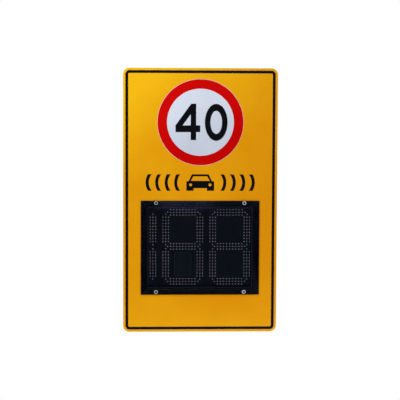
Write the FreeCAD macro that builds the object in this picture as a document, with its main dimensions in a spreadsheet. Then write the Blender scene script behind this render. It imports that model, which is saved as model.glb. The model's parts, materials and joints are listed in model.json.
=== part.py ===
"""Radar speed sign: a yellow face with a speed roundel and a lit display, on a cabinet clamped to a post.

Millimetres. The post's axis is +Z, the face looks along -Y, and the origin is on the post's axis
midway between the two clamps. The digits set the window, the window sets the frame and the cabinet,
and these set the face.
"""
import FreeCAD
import Part

import math
import os
from types import SimpleNamespace

import Sketcher

V = FreeCAD.Vector

SIZES = {
    # Digits
    "cell_width": 134,
    "upper_cell": 134,
    "lower_cell": 138,
    "column_gap": 50,
    "led_pitch": 6,
    "led_row_pitch": 10.8,
    "led_width": 4.2,
    "led_height": 2.4,
    "segment_tip": 7,
    "segment_setback": 12,
    "board_margin": 16,
    "board_corner": 3,
    "board_thickness": 1.6,
    "board_standoff": 10,
    # Radar
    "radar_side": 34.5,
    "radar_end": 22,
    "radar_corner": 8,
    "radar_depth": 16,
    "radar_wall": 2,
    "radar_clearance": 2,
    "radar_boss_inset": 6,
    "radar_board_rise": 5,
    # Window
    "cutout_side": 26,
    "cutout_head": 25,
    "cutout_foot": 29,
    "cutout_corner": 4,
    "window_side_lap": 22,
    "window_end_lap": 22,
    "window_corner": 2,
    "window_thickness": 5,
    "window_seal": 1,
    "window_screw_inset": 60,
    "window_screw_edge": 10.5,
    "window_screw_lift": 1.5,
    # Display frame and the plate that closes it
    "frame_reveal": 8,
    "frame_band": 36,
    "frame_depth": 22,
    "insert_radius": 4.6,
    "insert_length": 11,
    "gear_plate_thickness": 2,
    "gear_plate_gap": 25,
    # Roundel and its number
    "disc_radius": 167.5,
    "disc_edge": 1,
    "ring_width": 36.5,
    "numeral_height": 141,
    "numeral_lift": 1.5,
    "numeral_space": 17,
    "four_width": 96,
    "four_stem": 21,
    "four_tail": 16,
    "four_lean": 2,
    "four_bar": 26,
    "four_bar_rise": 31,
    "zero_width": 88,
    "zero_side": 21.4,
    "zero_crown": 27,
    "zero_overshoot": 1,
    # Legend
    "legend_inset": 19.5,
    "legend_height": 64,
    "legend_stroke": 12,
    "wave_pitch": 37,
    "wave_radius": 62,
    "car_width": 108,
    # Face
    "face_overhang": 50,
    "face_foot": 146,
    "legend_gap": 38.5,
    "roundel_gap": 34.5,
    "face_head": 42,
    "face_corner": 25,
    "plate_thickness": 3,
    "sheeting_thickness": 0.4,
    "film_thickness": 0.3,
    "border_margin": 9.5,
    "border_width": 10,
    # Cabinet
    "cabinet_gap": 12,
    "cabinet_inset": 65,
    "cabinet_depth": 100,
    "cabinet_corner": 12,
    "cabinet_wall": 2,
    "cabinet_seal": 2,
    "flange_width": 20,
    # Rear cover
    "cover_inset": 50,
    "cover_gap": 30,
    "cover_corner": 12,
    "cover_rim": 22,
    "cover_rise": 8,
    "cover_wall": 2,
    "cover_seal": 2,
    "rivet_radius": 3.6,
    # Rails
    "rail_inset": 30,
    "rail_height": 40,
    "rail_depth": 24,
    "rail_wall": 2.5,
    "rail_slot": 12,
    "rail_screw_inset": 40,
    # Clamps
    "post_radius": 38,
    "clamp_wall": 4,
    "clamp_seat": 4,
    "clamp_width": 40,
    "clamp_gap": 8,
    "ear_length": 30,
    "clamp_bolt_radius": 4,
    # Cable entry
    "gland_bore": 6,
    "gland_thread": 10,
    # Boxes on the gear plate
    "control_height": 150,
    "control_gap": 19,
    "control_lap": 8,
    "power_height": 110,
    "power_depth": 38,
    "power_inset": 17,
    "power_corner": 4,
    "power_lug": 12,
    "power_foot": 3,
    "terminal_height": 34,
    "terminal_depth": 26,
    "terminal_inset": 22,
    "terminal_gap": 33,
    "terminal_floor": 6,
    "battery_width": 180,
    "battery_height": 165,
    "battery_depth": 60,
    "battery_corner": 3,
    "battery_lift": 107.5,
    "battery_play": 0.4,
    "tray_wall": 2,
    "tray_skirt": 30,
    "tray_lip": 14,
    "strap_width": 24,
    "strap_thickness": 1.5,
    "strap_foot": 24,
    # Leads
    "lead_radius": 2.5,
    "lead_bend": 12,
    # Screws and studs
    "bolt_radius": 3,
    "stud_radius": 2.5,
    "gear_screw_radius": 2,
    "small_screw_radius": 1.5,
    "screw_play": 0.4,
    "thread_play": 0.05,
}

doc = FreeCAD.newDocument("RadarSpeedSign")
sheet = doc.addObject("Spreadsheet::Sheet", "Sizes")
for row, (alias, amount) in enumerate(SIZES.items(), start=1):
    sheet.set(f"A{row}", alias)
    sheet.set(f"B{row}", str(amount))
    sheet.setAlias(f"B{row}", alias)
doc.recompute()


class Length:
    """A number together with the expression on the sheet that gives it."""

    def __init__(self, number, text):
        self.number = number
        self.text = text

    def __add__(self, other):
        other = length(other)
        return Length(self.number + other.number, f"({self.text} + {other.text})")

    def __sub__(self, other):
        other = length(other)
        return Length(self.number - other.number, f"({self.text} - {other.text})")

    def __mul__(self, other):
        other = length(other)
        return Length(self.number * other.number, f"({self.text} * {other.text})")

    def __truediv__(self, other):
        other = length(other)
        return Length(self.number / other.number, f"({self.text} / {other.text})")

    def __radd__(self, other):
        return length(other) + self

    def __rsub__(self, other):
        return length(other) - self

    def __rmul__(self, other):
        return length(other) * self

    def __neg__(self):
        return length(0) - self


def length(value):
    """The value as a length, where it is a plain number."""
    return value if isinstance(value, Length) else Length(float(value), f"({float(value)})")


size = SimpleNamespace(**{alias: Length(float(amount), f"Sizes.{alias}") for alias, amount in SIZES.items()})

# Columns and rows of the digits, from the middle of the display and its upper edge
UNITS_RIGHT = size.cell_width + size.column_gap
HUNDREDS_X = -UNITS_RIGHT
TENS_X = -size.cell_width / 2
UNITS_X = size.column_gap + size.cell_width / 2
DIGIT_HEIGHT = size.upper_cell + size.lower_cell
BOARD_HEIGHT = DIGIT_HEIGHT + 2 * size.board_margin
BOARD_WIDTH = size.cell_width + 2 * size.board_margin

# Outlines, from the digits outwards
CUTOUT_WIDTH = 2 * (UNITS_RIGHT + size.cutout_side)
CUTOUT_HEIGHT = size.cutout_head + DIGIT_HEIGHT + size.cutout_foot
WINDOW_WIDTH = CUTOUT_WIDTH + 2 * size.window_side_lap
WINDOW_HEIGHT = CUTOUT_HEIGHT + 2 * size.window_end_lap
OPENING_WIDTH = CUTOUT_WIDTH - 2 * size.frame_reveal
OPENING_HEIGHT = CUTOUT_HEIGHT - 2 * size.frame_reveal
FRAME_WIDTH = OPENING_WIDTH + 2 * size.frame_band
FRAME_HEIGHT = OPENING_HEIGHT + 2 * size.frame_band
CABINET_WIDTH = FRAME_WIDTH + 2 * size.cabinet_gap
FACE_WIDTH = CABINET_WIDTH + 2 * size.face_overhang
BELOW_LEGEND = size.face_foot + WINDOW_HEIGHT + size.legend_gap
FACE_HEIGHT = BELOW_LEGEND + size.legend_height + size.roundel_gap + 2 * size.disc_radius + size.face_head
CABINET_HEIGHT = FACE_HEIGHT - 2 * size.cabinet_inset
RAIL_LENGTH = CABINET_WIDTH - 2 * size.rail_inset
RAIL_RISE = CABINET_HEIGHT / 3
COVER_WIDTH = CABINET_WIDTH - 2 * size.cover_inset
COVER_HEIGHT = 2 * (RAIL_RISE - size.rail_height / 2 - size.cover_gap)

# Heights on the face, from its middle
WINDOW_TOP = size.face_foot + WINDOW_HEIGHT - FACE_HEIGHT / 2
WINDOW_Z = WINDOW_TOP - WINDOW_HEIGHT / 2
LEGEND_Z = BELOW_LEGEND + size.legend_height / 2 - FACE_HEIGHT / 2
ROUNDEL_Z = FACE_HEIGHT / 2 - size.face_head - size.disc_radius
TOP_ROW = WINDOW_TOP - size.window_end_lap - size.cutout_head
MIDDLE_ROW = TOP_ROW - size.upper_cell
BOTTOM_ROW = MIDDLE_ROW - size.lower_cell
DIGIT_Z = (TOP_ROW + BOTTOM_ROW) / 2
RADAR_Z = (MIDDLE_ROW + BOTTOM_ROW) / 2
GEAR_BOTTOM = WINDOW_Z - FRAME_HEIGHT / 2
GEAR_TOP = CABINET_HEIGHT / 2 - size.gear_plate_gap
CABINET_FOOT = -CABINET_HEIGHT / 2

# Planes across the sign, from the post forwards
RAIL_REAR = -(size.post_radius + size.clamp_wall + size.clamp_seat)
CABINET_REAR = RAIL_REAR - size.rail_depth
CABINET_FRONT = CABINET_REAR - size.cabinet_depth
PLATE_REAR = CABINET_FRONT - size.cabinet_seal
PLATE_FRONT = PLATE_REAR - size.plate_thickness
SHEETING_FRONT = PLATE_FRONT - size.sheeting_thickness
FILM_FRONT = SHEETING_FRONT - size.film_thickness
PRINT_FRONT = FILM_FRONT - size.film_thickness
WINDOW_REAR = SHEETING_FRONT - size.window_seal
WINDOW_FRONT = WINDOW_REAR - size.window_thickness
GEAR_FRONT = PLATE_REAR + size.frame_depth
GEAR_REAR = GEAR_FRONT + size.gear_plate_thickness
BOARD_REAR = GEAR_FRONT - size.board_standoff
BOARD_FRONT = BOARD_REAR - size.board_thickness
CONTROL_FRONT = GEAR_REAR + size.board_standoff
CONTROL_REAR = CONTROL_FRONT + size.board_thickness
COVER_FRONT = CABINET_REAR + size.cover_seal
COVER_REAR = COVER_FRONT + size.cover_wall

nodes = []


def node(label, feature):
    """Name a finished feature as one of the sign's pieces."""
    feature.Label = label
    nodes.append(feature)
    return feature


def point(x, y, z):
    """The place that three lengths give."""
    return V(length(x).number, length(y).number, length(z).number)


# Sketches and the features on them
def sketch_on(body, plane, height):
    """A sketch on a main plane of the body, at a height along the plane's own axis."""
    sketch = body.newObject("Sketcher::SketchObject", "Sketch")
    support = [item for item in body.Origin.OriginFeatures if item.Role == plane][0]
    sketch.AttachmentSupport = (support, [""])
    sketch.MapMode = "FlatFace"
    offset = -height if plane == "XZ_Plane" else length(height)
    sketch.setExpression(".AttachmentOffset.Base.z", offset.text)
    return sketch


def face_sketch(body, y):
    """A sketch that faces the front, at a depth."""
    return sketch_on(body, "XZ_Plane", length(y))


def hold(sketch, amount, *parts):
    """Add a dimension to the sketch and tie it to the sheet."""
    amount = length(amount)
    index = sketch.addConstraint(Sketcher.Constraint(*parts, amount.number))
    sketch.renameConstraint(index, f"size_{index}")
    sketch.setExpression(f"Constraints.size_{index}", amount.text)


def hold_point(sketch, item, end, x, y):
    """Tie a point of the sketch to its place."""
    hold(sketch, x, "DistanceX", -1, 1, item, end)
    hold(sketch, y, "DistanceY", -1, 1, item, end)


def draw_rectangle(sketch, width, height, corner, x=0, y=0):
    """A rectangle with round corners about a middle point."""
    edges = [x + width / 2, y + height / 2, x - width / 2, y - height / 2]
    right, top, left, bottom = [edge.number for edge in edges]
    radius = corner.number
    turns = [
        (right - radius, bottom + radius, -0.5),
        (right - radius, top - radius, 0.0),
        (left + radius, top - radius, 0.5),
        (left + radius, bottom + radius, 1.0),
    ]
    arcs = []
    for centre_x, centre_y, turn in turns:
        circle = Part.Circle(V(centre_x, centre_y, 0), V(0, 0, 1), radius)
        arc = Part.ArcOfCircle(circle, turn * math.pi, (turn + 0.5) * math.pi)
        arcs.append(sketch.addGeometry(arc, False))
    ends = [(sketch.getPoint(arc, 1), sketch.getPoint(arc, 2)) for arc in arcs]
    sides = []
    for index in range(4):
        side = Part.LineSegment(ends[index][1], ends[(index + 1) % 4][0])
        sides.append(sketch.addGeometry(side, False))
    for index, side in enumerate(sides):
        following = arcs[(index + 1) % 4]
        sketch.addConstraint(Sketcher.Constraint("Tangent", arcs[index], 2, side, 1))
        sketch.addConstraint(Sketcher.Constraint("Tangent", side, 2, following, 1))
        sketch.addConstraint(Sketcher.Constraint("Horizontal" if index % 2 else "Vertical", side))
    for arc in arcs[1:]:
        sketch.addConstraint(Sketcher.Constraint("Equal", arcs[0], arc))
    hold(sketch, corner, "Radius", arcs[0])
    for index, edge in enumerate(edges):
        hold(sketch, edge, "DistanceY" if index % 2 else "DistanceX", -1, 1, sides[index], 1)


def draw_circle(sketch, radius, x=0, y=0):
    """A circle about a point."""
    circle = Part.Circle(point(x, y, 0), V(0, 0, 1), radius.number)
    item = sketch.addGeometry(circle, False)
    hold_point(sketch, item, 3, x, y)
    hold(sketch, radius, "Radius", item)


def draw_ellipse(sketch, half_width, half_height, x, y):
    """An upright ellipse about a point."""
    middle = point(x, y, 0)
    ellipse = Part.Ellipse(point(x, y + half_height, 0), point(x + half_width, y, 0), middle)
    item = sketch.addGeometry(ellipse, False)
    sketch.exposeInternalGeometry(item)
    major = item + 1
    minor = item + 2
    hold_point(sketch, item, 3, x, y)
    sketch.addConstraint(Sketcher.Constraint("Vertical", major))
    hold(sketch, 2 * half_height, "Distance", major, 1, major, 2)
    hold(sketch, 2 * half_width, "Distance", minor, 1, minor, 2)


def draw_polygon(sketch, corners):
    """Straight lines from corner to corner and back to the first."""
    places = [point(x, y, 0) for x, y in corners]
    lines = []
    for index, place in enumerate(places):
        line = Part.LineSegment(place, places[(index + 1) % len(places)])
        lines.append(sketch.addGeometry(line, False))
    for index, (x, y) in enumerate(corners):
        following = lines[(index + 1) % len(lines)]
        sketch.addConstraint(Sketcher.Constraint("Coincident", lines[index], 2, following, 1))
        hold_point(sketch, lines[index], 1, x, y)


def extrude(kind, body, sketch, amount, back, middle):
    """A pad or a pocket of the sketch, by an amount."""
    feature = body.newObject(f"PartDesign::{kind}", kind)
    feature.Profile = sketch
    feature.setExpression("Length", length(amount).text)
    feature.Reversed = back
    feature.Midplane = middle
    doc.recompute()
    return feature


def pad(body, sketch, amount, back=False, middle=False):
    """Grow the sketch along its plane's normal, backwards, or both ways."""
    return extrude("Pad", body, sketch, amount, back, middle)


def pocket(body, sketch, amount, back=False, middle=False):
    """Cut the sketch into the body against its plane's normal, the other way, or both ways."""
    before = body.Shape.Volume
    feature = extrude("Pocket", body, sketch, amount, back, middle)
    if body.Shape.Volume >= before:
        raise ValueError(f"nothing cut from {body.Name}")
    return feature


def round_rear(body, radius):
    """Round the outer edges of the body's rearmost face."""
    rear = body.Shape.BoundBox.YMax
    edges = [
        f"Edge{index}"
        for index, edge in enumerate(body.Shape.Edges, start=1)
        if math.isclose(edge.BoundBox.YMin, rear, abs_tol=radius.number / 100)
    ]
    base = body.Tip
    feature = body.newObject("PartDesign::Fillet", "RoundRear")
    feature.Base = (base, edges)
    feature.setExpression("Radius", radius.text)
    doc.recompute()
    return feature


def drill(body, y, radius, places, depth):
    """Cut round holes both ways from a depth at each place across the sign."""
    sketch = face_sketch(body, y)
    for x, z in places:
        draw_circle(sketch, radius, x, z)
    return pocket(body, sketch, 2 * depth, middle=True)


def pegs(body, y, radius, places, amount, back=False):
    """Grow round pegs from a depth at each place across the sign."""
    sketch = face_sketch(body, y)
    for x, z in places:
        draw_circle(sketch, radius, x, z)
    return pad(body, sketch, amount, back=back)


def plate(label, front, thickness, outline, x=0, z=0, holes=()):
    """A flat sheet behind its front plane, with round-cornered holes of (outline, x, z)."""
    body = doc.addObject("PartDesign::Body", label)
    sketch = face_sketch(body, front)
    draw_rectangle(sketch, *outline, x, z)
    for hole, hole_x, hole_z in holes:
        draw_rectangle(sketch, *hole, hole_x, hole_z)
    pad(body, sketch, thickness, back=True)
    return node(label, body)


# Simple solids
ALONG = {
    "y": FreeCAD.Rotation(V(1, 0, 0), -90),
    "-y": FreeCAD.Rotation(V(1, 0, 0), 90),
    "z": FreeCAD.Rotation(),
    "-z": FreeCAD.Rotation(V(1, 0, 0), 180),
}
HERE = (0, 0, 0)


def settle(feature, place, along="z"):
    """Turn a solid along an axis and tie its base to a place."""
    feature.Placement = FreeCAD.Placement(V(), ALONG[along])
    for axis, amount in zip("xyz", place):
        feature.setExpression(f".Placement.Base.{axis}", length(amount).text)
    return feature


def block(corner, lengths):
    """A box from its least corner."""
    feature = doc.addObject("Part::Box", "Block")
    for name, amount in zip(("Length", "Width", "Height"), lengths):
        feature.setExpression(name, amount.text)
    return settle(feature, corner)


def rod(radius, amount, place, along):
    """A cylinder from the middle of its base."""
    feature = doc.addObject("Part::Cylinder", "Rod")
    feature.setExpression("Radius", radius.text)
    feature.setExpression("Height", amount.text)
    return settle(feature, place, along)


def hexagon(flats, amount, place, along):
    """A six-sided bar from the middle of its base, by the width across its flats."""
    feature = doc.addObject("Part::Prism", "Hexagon")
    feature.Polygon = 6
    feature.setExpression("Circumradius", (flats / math.sqrt(3)).text)
    feature.setExpression("Height", amount.text)
    return settle(feature, place, along)


def join(*features):
    """One solid from several that meet."""
    feature = doc.addObject("Part::MultiFuse", "Join")
    feature.Shapes = list(features)
    doc.recompute()
    return feature


def cut(base, *tools):
    """A solid less others."""
    feature = doc.addObject("Part::Cut", "Cut")
    feature.Base = base
    feature.Tool = tools[0] if len(tools) == 1 else join(*tools)
    doc.recompute()
    return feature


def group(label, shapes):
    """Separate solids under one name."""
    feature = doc.addObject("Part::Feature", label)
    feature.Shape = Part.makeCompound(shapes)
    return node(label, feature)


def copies(label, pattern, places):
    """The pattern's solid at each place, under one name."""
    return group(label, [pattern.Shape.translated(point(*place)) for place in places])


# Fasteners, each from its seat at the origin, with proportions by the radius of its thread
HEAD_WIDTH = 1.87
HEAD_RISE = 1.1
SOCKET_FLATS = 2.0
SOCKET_DEPTH = 0.9
HEAD_SPHERE = (HEAD_WIDTH ** 2 + HEAD_RISE ** 2) / (2 * HEAD_RISE)
OPPOSITE = {"y": "-y", "-y": "y"}


def screw(radius, amount, towards_head):
    """A screw with a domed socket head along one axis."""
    behind = OPPOSITE[towards_head]
    sign = 1 if towards_head == "y" else -1
    dome = doc.addObject("Part::Sphere", "Dome")
    dome.setExpression("Radius", (HEAD_SPHERE * radius).text)
    dome.Angle1 = math.degrees(math.asin(1 - HEAD_RISE / HEAD_SPHERE))
    dome.Angle2 = 90
    settle(dome, (0, sign * (HEAD_RISE - HEAD_SPHERE) * radius, 0), towards_head)
    shank = rod(radius, amount, HERE, behind)
    crown = (0, sign * HEAD_RISE * 1.01 * radius, 0)
    socket = hexagon(SOCKET_FLATS * radius, SOCKET_DEPTH * radius, crown, behind)
    return cut(join(dome, shank), socket)


def tube(inner, outer, amount, along):
    """A round sleeve."""
    return cut(rod(outer, amount, HERE, along), rod(inner, amount, HERE, along))


def nut(radius, along, flats=3.25, thickness=1.6):
    """A hexagon nut."""
    body = hexagon(flats * radius, thickness * radius, HERE, along)
    return cut(body, rod(radius + size.thread_play, thickness * radius, HERE, along))


def clear_of(radius):
    """Radius of the hole that a screw passes through."""
    return radius + size.screw_play


def corners_of(half_width, half_height, x=0, z=0):
    """The four corners about a middle point."""
    return [(x + a * half_width, z + b * half_height) for a in (-1, 1) for b in (-1, 1)]


def at_depth(places, y):
    """Places across the sign, all at one depth."""
    return [(x, y, z) for x, z in places]


# Places of the fasteners
WINDOW_SCREWS = corners_of(
    WINDOW_WIDTH / 2 - size.window_screw_inset,
    WINDOW_HEIGHT / 2 - size.window_screw_edge,
    z=WINDOW_Z + size.window_screw_lift,
)
FLANGE_X = (CABINET_WIDTH + size.flange_width) / 2
FLANGE_Z = (CABINET_HEIGHT + size.flange_width) / 2
STUDS = [(a * FLANGE_X, share * CABINET_HEIGHT) for a in (-1, 1) for share in (-0.4, -0.13, 0.13, 0.4)]
STUDS += [(share * CABINET_WIDTH, b * FLANGE_Z) for b in (-1, 1) for share in (-0.36, 0, 0.36)]
FRAME_SCREWS = corners_of((FRAME_WIDTH - size.frame_band) / 2, 0.3 * OPENING_HEIGHT, z=WINDOW_Z)
FRAME_SCREWS += [(0, WINDOW_Z + b * (FRAME_HEIGHT - size.frame_band) / 2) for b in (-1, 1)]
GEAR_POSTS = [(a * 0.42 * FRAME_WIDTH, GEAR_TOP - size.frame_band / 2) for a in (-1, 1)]
DIGIT_EDGES = [digit + a * size.cell_width / 2 for digit in (TENS_X, UNITS_X) for a in (-1, 1)]
DIGIT_COLUMNS = [HUNDREDS_X] + DIGIT_EDGES
BOARD_POSTS = [(x, z) for x in DIGIT_COLUMNS for z in (TOP_ROW, BOTTOM_ROW)]
RADAR_WIDTH = size.cell_width - 2 * size.radar_side
RADAR_HEIGHT = size.lower_cell - 2 * size.radar_end
RADAR_SCREWS = corners_of(
    RADAR_WIDTH / 2 - size.radar_boss_inset, RADAR_HEIGHT / 2 - size.radar_boss_inset, TENS_X, RADAR_Z
)
CONTROL_WIDTH = size.cell_width + 2 * size.control_lap
CONTROL_Z = TOP_ROW - size.control_gap - size.control_height / 2
CONTROL_EDGE = 4 * size.small_screw_radius
CONTROL_POSTS = corners_of(
    CONTROL_WIDTH / 2 - CONTROL_EDGE, size.control_height / 2 - CONTROL_EDGE, TENS_X, CONTROL_Z
)
POWER_WIDTH = size.cell_width - 2 * size.power_inset
POWER_FEET = corners_of(
    POWER_WIDTH / 2 - CONTROL_EDGE, (size.power_height + size.power_lug) / 2, UNITS_X, CONTROL_Z
)
TERMINAL_WIDTH = size.cell_width - 2 * size.terminal_inset
TERMINAL_Z = BOTTOM_ROW + size.terminal_gap
TERMINAL_SCREWS = [(UNITS_X + a * (TERMINAL_WIDTH / 2 - CONTROL_EDGE), TERMINAL_Z) for a in (-1, 1)]
BATTERY_FOOT = WINDOW_TOP + size.battery_lift
BATTERY_Z = BATTERY_FOOT + size.battery_height / 2
TRAY_SCREWS = [(a * 0.3 * size.battery_width, BATTERY_FOOT - size.tray_skirt / 2) for a in (-1, 1)]
STRAP_SCREWS = [(a * (size.battery_width + size.strap_foot) / 2, BATTERY_Z) for a in (-1, 1)]
COVER_SCREW_X = (COVER_WIDTH - size.cover_rim) / 2
COVER_SCREW_Z = (COVER_HEIGHT - size.cover_rim) / 2
COVER_SCREWS = corners_of(COVER_SCREW_X, COVER_SCREW_Z)
COVER_SCREWS += [(a * COVER_SCREW_X, 0) for a in (-1, 1)] + [(0, b * COVER_SCREW_Z) for b in (-1, 1)]
RAIL_SCREW_X = [share * (RAIL_LENGTH / 2 - size.rail_screw_inset) for share in (-1, -0.55, 0.55, 1)]
RAIL_SCREWS = [(x, b * RAIL_RISE) for x in RAIL_SCREW_X for b in (-1, 1)]
EAR_REACH = size.post_radius + size.clamp_wall + size.ear_length
CLAMP_BOLT_X = EAR_REACH - size.ear_length / 2
CLAMP_BOLTS = corners_of(CLAMP_BOLT_X, RAIL_RISE)

# Face plate with its cut-out and the studs on its back
FACE = (FACE_WIDTH, FACE_HEIGHT, size.face_corner)
CUTOUT = ((CUTOUT_WIDTH, CUTOUT_HEIGHT, size.cutout_corner), 0, WINDOW_Z)
STUD_END = 2.8 * size.stud_radius
face_plate = plate("face_plate", PLATE_FRONT, size.plate_thickness, FACE, holes=[CUTOUT])
drill(face_plate, PLATE_FRONT, clear_of(size.bolt_radius), WINDOW_SCREWS, 2 * size.plate_thickness)
FLANGE_STUD = size.cabinet_seal + size.cabinet_wall + STUD_END
pegs(face_plate, PLATE_REAR, size.stud_radius, STUDS, FLANGE_STUD, back=True)
GEAR_STUD = size.frame_depth + size.gear_plate_thickness + STUD_END
pegs(face_plate, PLATE_REAR, size.stud_radius, GEAR_POSTS, GEAR_STUD, back=True)

# Yellow sheeting and the black stripe near its edge
sheeting = plate("yellow_sheeting", SHEETING_FRONT, size.sheeting_thickness, FACE, holes=[CUTOUT])
drill(sheeting, SHEETING_FRONT, clear_of(size.bolt_radius), WINDOW_SCREWS, 2 * size.sheeting_thickness)


def inset_face(inset):
    """The face's outline, moved in all round."""
    return (FACE_WIDTH - 2 * inset, FACE_HEIGHT - 2 * inset, size.face_corner - inset)


STRIPE_INSIDE = (inset_face(size.border_margin + size.border_width), 0, 0)
plate("border_stripe", FILM_FRONT, size.film_thickness, inset_face(size.border_margin), holes=[STRIPE_INSIDE])


def film(label, front, draw):
    """A thin film on the face, from what the draw function puts in its sketch."""
    body = doc.addObject("PartDesign::Body", label)
    sketch = face_sketch(body, front)
    draw(sketch)
    pad(body, sketch, size.film_thickness, back=True)
    return node(label, body)


# Roundel: white disc, red ring and the number forty
NUMERAL_FOOT = ROUNDEL_Z + size.numeral_lift - size.numeral_height / 2
NUMERAL_TOP = NUMERAL_FOOT + size.numeral_height
STEM_RIGHT = -size.numeral_space
STEM_LEFT = STEM_RIGHT - size.four_stem
FOUR_RIGHT = STEM_RIGHT + size.four_tail
FOUR_LEFT = FOUR_RIGHT - size.four_width
BAR_FOOT = NUMERAL_FOOT + size.four_bar_rise
BAR_TOP = BAR_FOOT + size.four_bar


def draw_disc(sketch):
    """The disc's edge."""
    draw_circle(sketch, size.disc_radius, 0, ROUNDEL_Z)


def draw_ring(sketch):
    """The ring between two circles."""
    outer = size.disc_radius - size.disc_edge
    draw_circle(sketch, outer, 0, ROUNDEL_Z)
    draw_circle(sketch, outer - size.ring_width, 0, ROUNDEL_Z)


def draw_four(sketch):
    """The figure four with its three-cornered hole."""
    tip = STEM_LEFT + size.four_lean
    slope = (NUMERAL_TOP - BAR_TOP) / (tip - FOUR_LEFT)
    hole_left = FOUR_LEFT + 1.06 * size.four_bar
    draw_polygon(sketch, [
        (tip, NUMERAL_TOP),
        (STEM_RIGHT, NUMERAL_TOP),
        (STEM_RIGHT, BAR_TOP),
        (FOUR_RIGHT, BAR_TOP),
        (FOUR_RIGHT, BAR_FOOT),
        (STEM_RIGHT, BAR_FOOT),
        (STEM_RIGHT, NUMERAL_FOOT),
        (STEM_LEFT, NUMERAL_FOOT),
        (STEM_LEFT, BAR_FOOT),
        (FOUR_LEFT, BAR_FOOT),
        (FOUR_LEFT, BAR_TOP),
    ])
    draw_polygon(sketch, [
        (hole_left, BAR_TOP),
        (STEM_LEFT, BAR_TOP),
        (STEM_LEFT, BAR_TOP + (STEM_LEFT - hole_left) * slope),
    ])


def draw_zero(sketch):
    """The figure zero between two ellipses."""
    middle = size.numeral_space + size.zero_width / 2
    half_width = size.zero_width / 2
    half_height = size.numeral_height / 2 + size.zero_overshoot
    draw_ellipse(sketch, half_width, half_height, middle, ROUNDEL_Z)
    draw_ellipse(sketch, half_width - size.zero_side, half_height - size.zero_crown, middle, ROUNDEL_Z)


film("roundel_disc", FILM_FRONT, draw_disc)
film("roundel_ring", PRINT_FRONT, draw_ring)
film("numeral_four", PRINT_FRONT, draw_four)
film("numeral_zero", PRINT_FRONT, draw_zero)


# Legend: a car seen from the front between waves
def draw_car(sketch):
    """A car's front in outline, with its windscreen and lamps left open."""
    width = size.car_width
    height = size.legend_height
    foot = LEGEND_Z - height / 2
    outline = [
        (0.24, 0.16),
        (0.24, 0.0),
        (0.5, 0.0),
        (0.5, 0.56),
        (0.42, 0.59),
        (0.3, 1.0),
    ]
    glass = [(0.34, 0.6), (0.25, 0.88)]
    for half in (outline, glass):
        right = [(across * width, foot + up * height) for across, up in half]
        left = [(-across * width, foot + up * height) for across, up in reversed(half)]
        draw_polygon(sketch, right + left)
    for side in (-0.35, 0.35):
        draw_circle(sketch, 0.09 * height, side * width, foot + 0.36 * height)


def waves():
    """Upright curved strokes on both sides, bowed away from the middle."""
    shapes = []
    thickness = size.film_thickness.number
    height = size.legend_height.number
    radius = size.wave_radius.number
    half_width = (WINDOW_WIDTH / 2 - size.legend_inset).number
    for index in range(4):
        tip = half_width - index * size.wave_pitch.number
        for side in (-1, 1):
            centre = point(side * (tip - radius), FILM_FRONT, LEGEND_Z)
            corner = centre + V(min(0, side * 2 * radius), 0, -height / 2)
            outer = Part.makeCylinder(radius, thickness, centre, V(0, 1, 0))
            inner = Part.makeCylinder(radius - size.legend_stroke.number, thickness, centre, V(0, 1, 0))
            band = Part.makeBox(2 * radius, thickness, height, corner)
            shapes += outer.cut(inner).common(band).Solids
    return shapes


film("legend_car", FILM_FRONT, draw_car)
group("legend_waves", waves())

# Window, its seal and its fixings
WINDOW = (WINDOW_WIDTH, WINDOW_HEIGHT, size.window_corner)
SEAL = (WINDOW_WIDTH - size.window_corner, WINDOW_HEIGHT - size.window_corner, size.window_corner)
window = plate("display_window", WINDOW_FRONT, size.window_thickness, WINDOW, z=WINDOW_Z)
drill(window, WINDOW_FRONT, clear_of(size.bolt_radius), WINDOW_SCREWS, 2 * size.window_thickness)
seal = plate("window_seal", WINDOW_REAR, size.window_seal, SEAL, z=WINDOW_Z, holes=[CUTOUT])
drill(seal, WINDOW_REAR, clear_of(size.bolt_radius), WINDOW_SCREWS, 2 * size.window_seal)
WASHER = 0.4 * size.bolt_radius
washer = tube(clear_of(size.bolt_radius), 2.4 * size.bolt_radius, WASHER, "-y")
copies("window_washers", washer, at_depth(WINDOW_SCREWS, WINDOW_FRONT))
WINDOW_GRIP = PLATE_REAR - WINDOW_FRONT + WASHER
window_screw = screw(size.bolt_radius, WINDOW_GRIP + 0.8 * size.insert_length, "-y")
copies("window_screws", window_screw, at_depth(WINDOW_SCREWS, WINDOW_FRONT - WASHER))

# Display frame, the inserts that take the window's screws, and the gear plate behind
FRAME = (FRAME_WIDTH, FRAME_HEIGHT, size.cutout_corner)
FRAME_OPENING = ((OPENING_WIDTH, OPENING_HEIGHT, size.cutout_corner), 0, WINDOW_Z)
frame = plate("display_frame", PLATE_REAR, size.frame_depth, FRAME, z=WINDOW_Z, holes=[FRAME_OPENING])
drill(frame, PLATE_REAR, size.insert_radius, WINDOW_SCREWS, size.insert_length)
drill(frame, GEAR_FRONT, size.gear_screw_radius + size.thread_play, FRAME_SCREWS, 0.6 * size.frame_depth)
insert = tube(size.bolt_radius + size.thread_play, size.insert_radius, size.insert_length, "y")
copies("frame_inserts", insert, at_depth(WINDOW_SCREWS, PLATE_REAR))
GEAR = (FRAME_WIDTH, GEAR_TOP - GEAR_BOTTOM, size.cutout_corner)
gear_plate = plate(
    "gear_plate", GEAR_FRONT, size.gear_plate_thickness, GEAR, z=(GEAR_TOP + GEAR_BOTTOM) / 2
)
DISPLAY_LEAD_X = UNITS_X - BOARD_WIDTH / 2 + 1.6 * size.lead_radius
DISPLAY_LEAD_Z = CONTROL_Z + 0.2 * size.control_height
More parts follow.
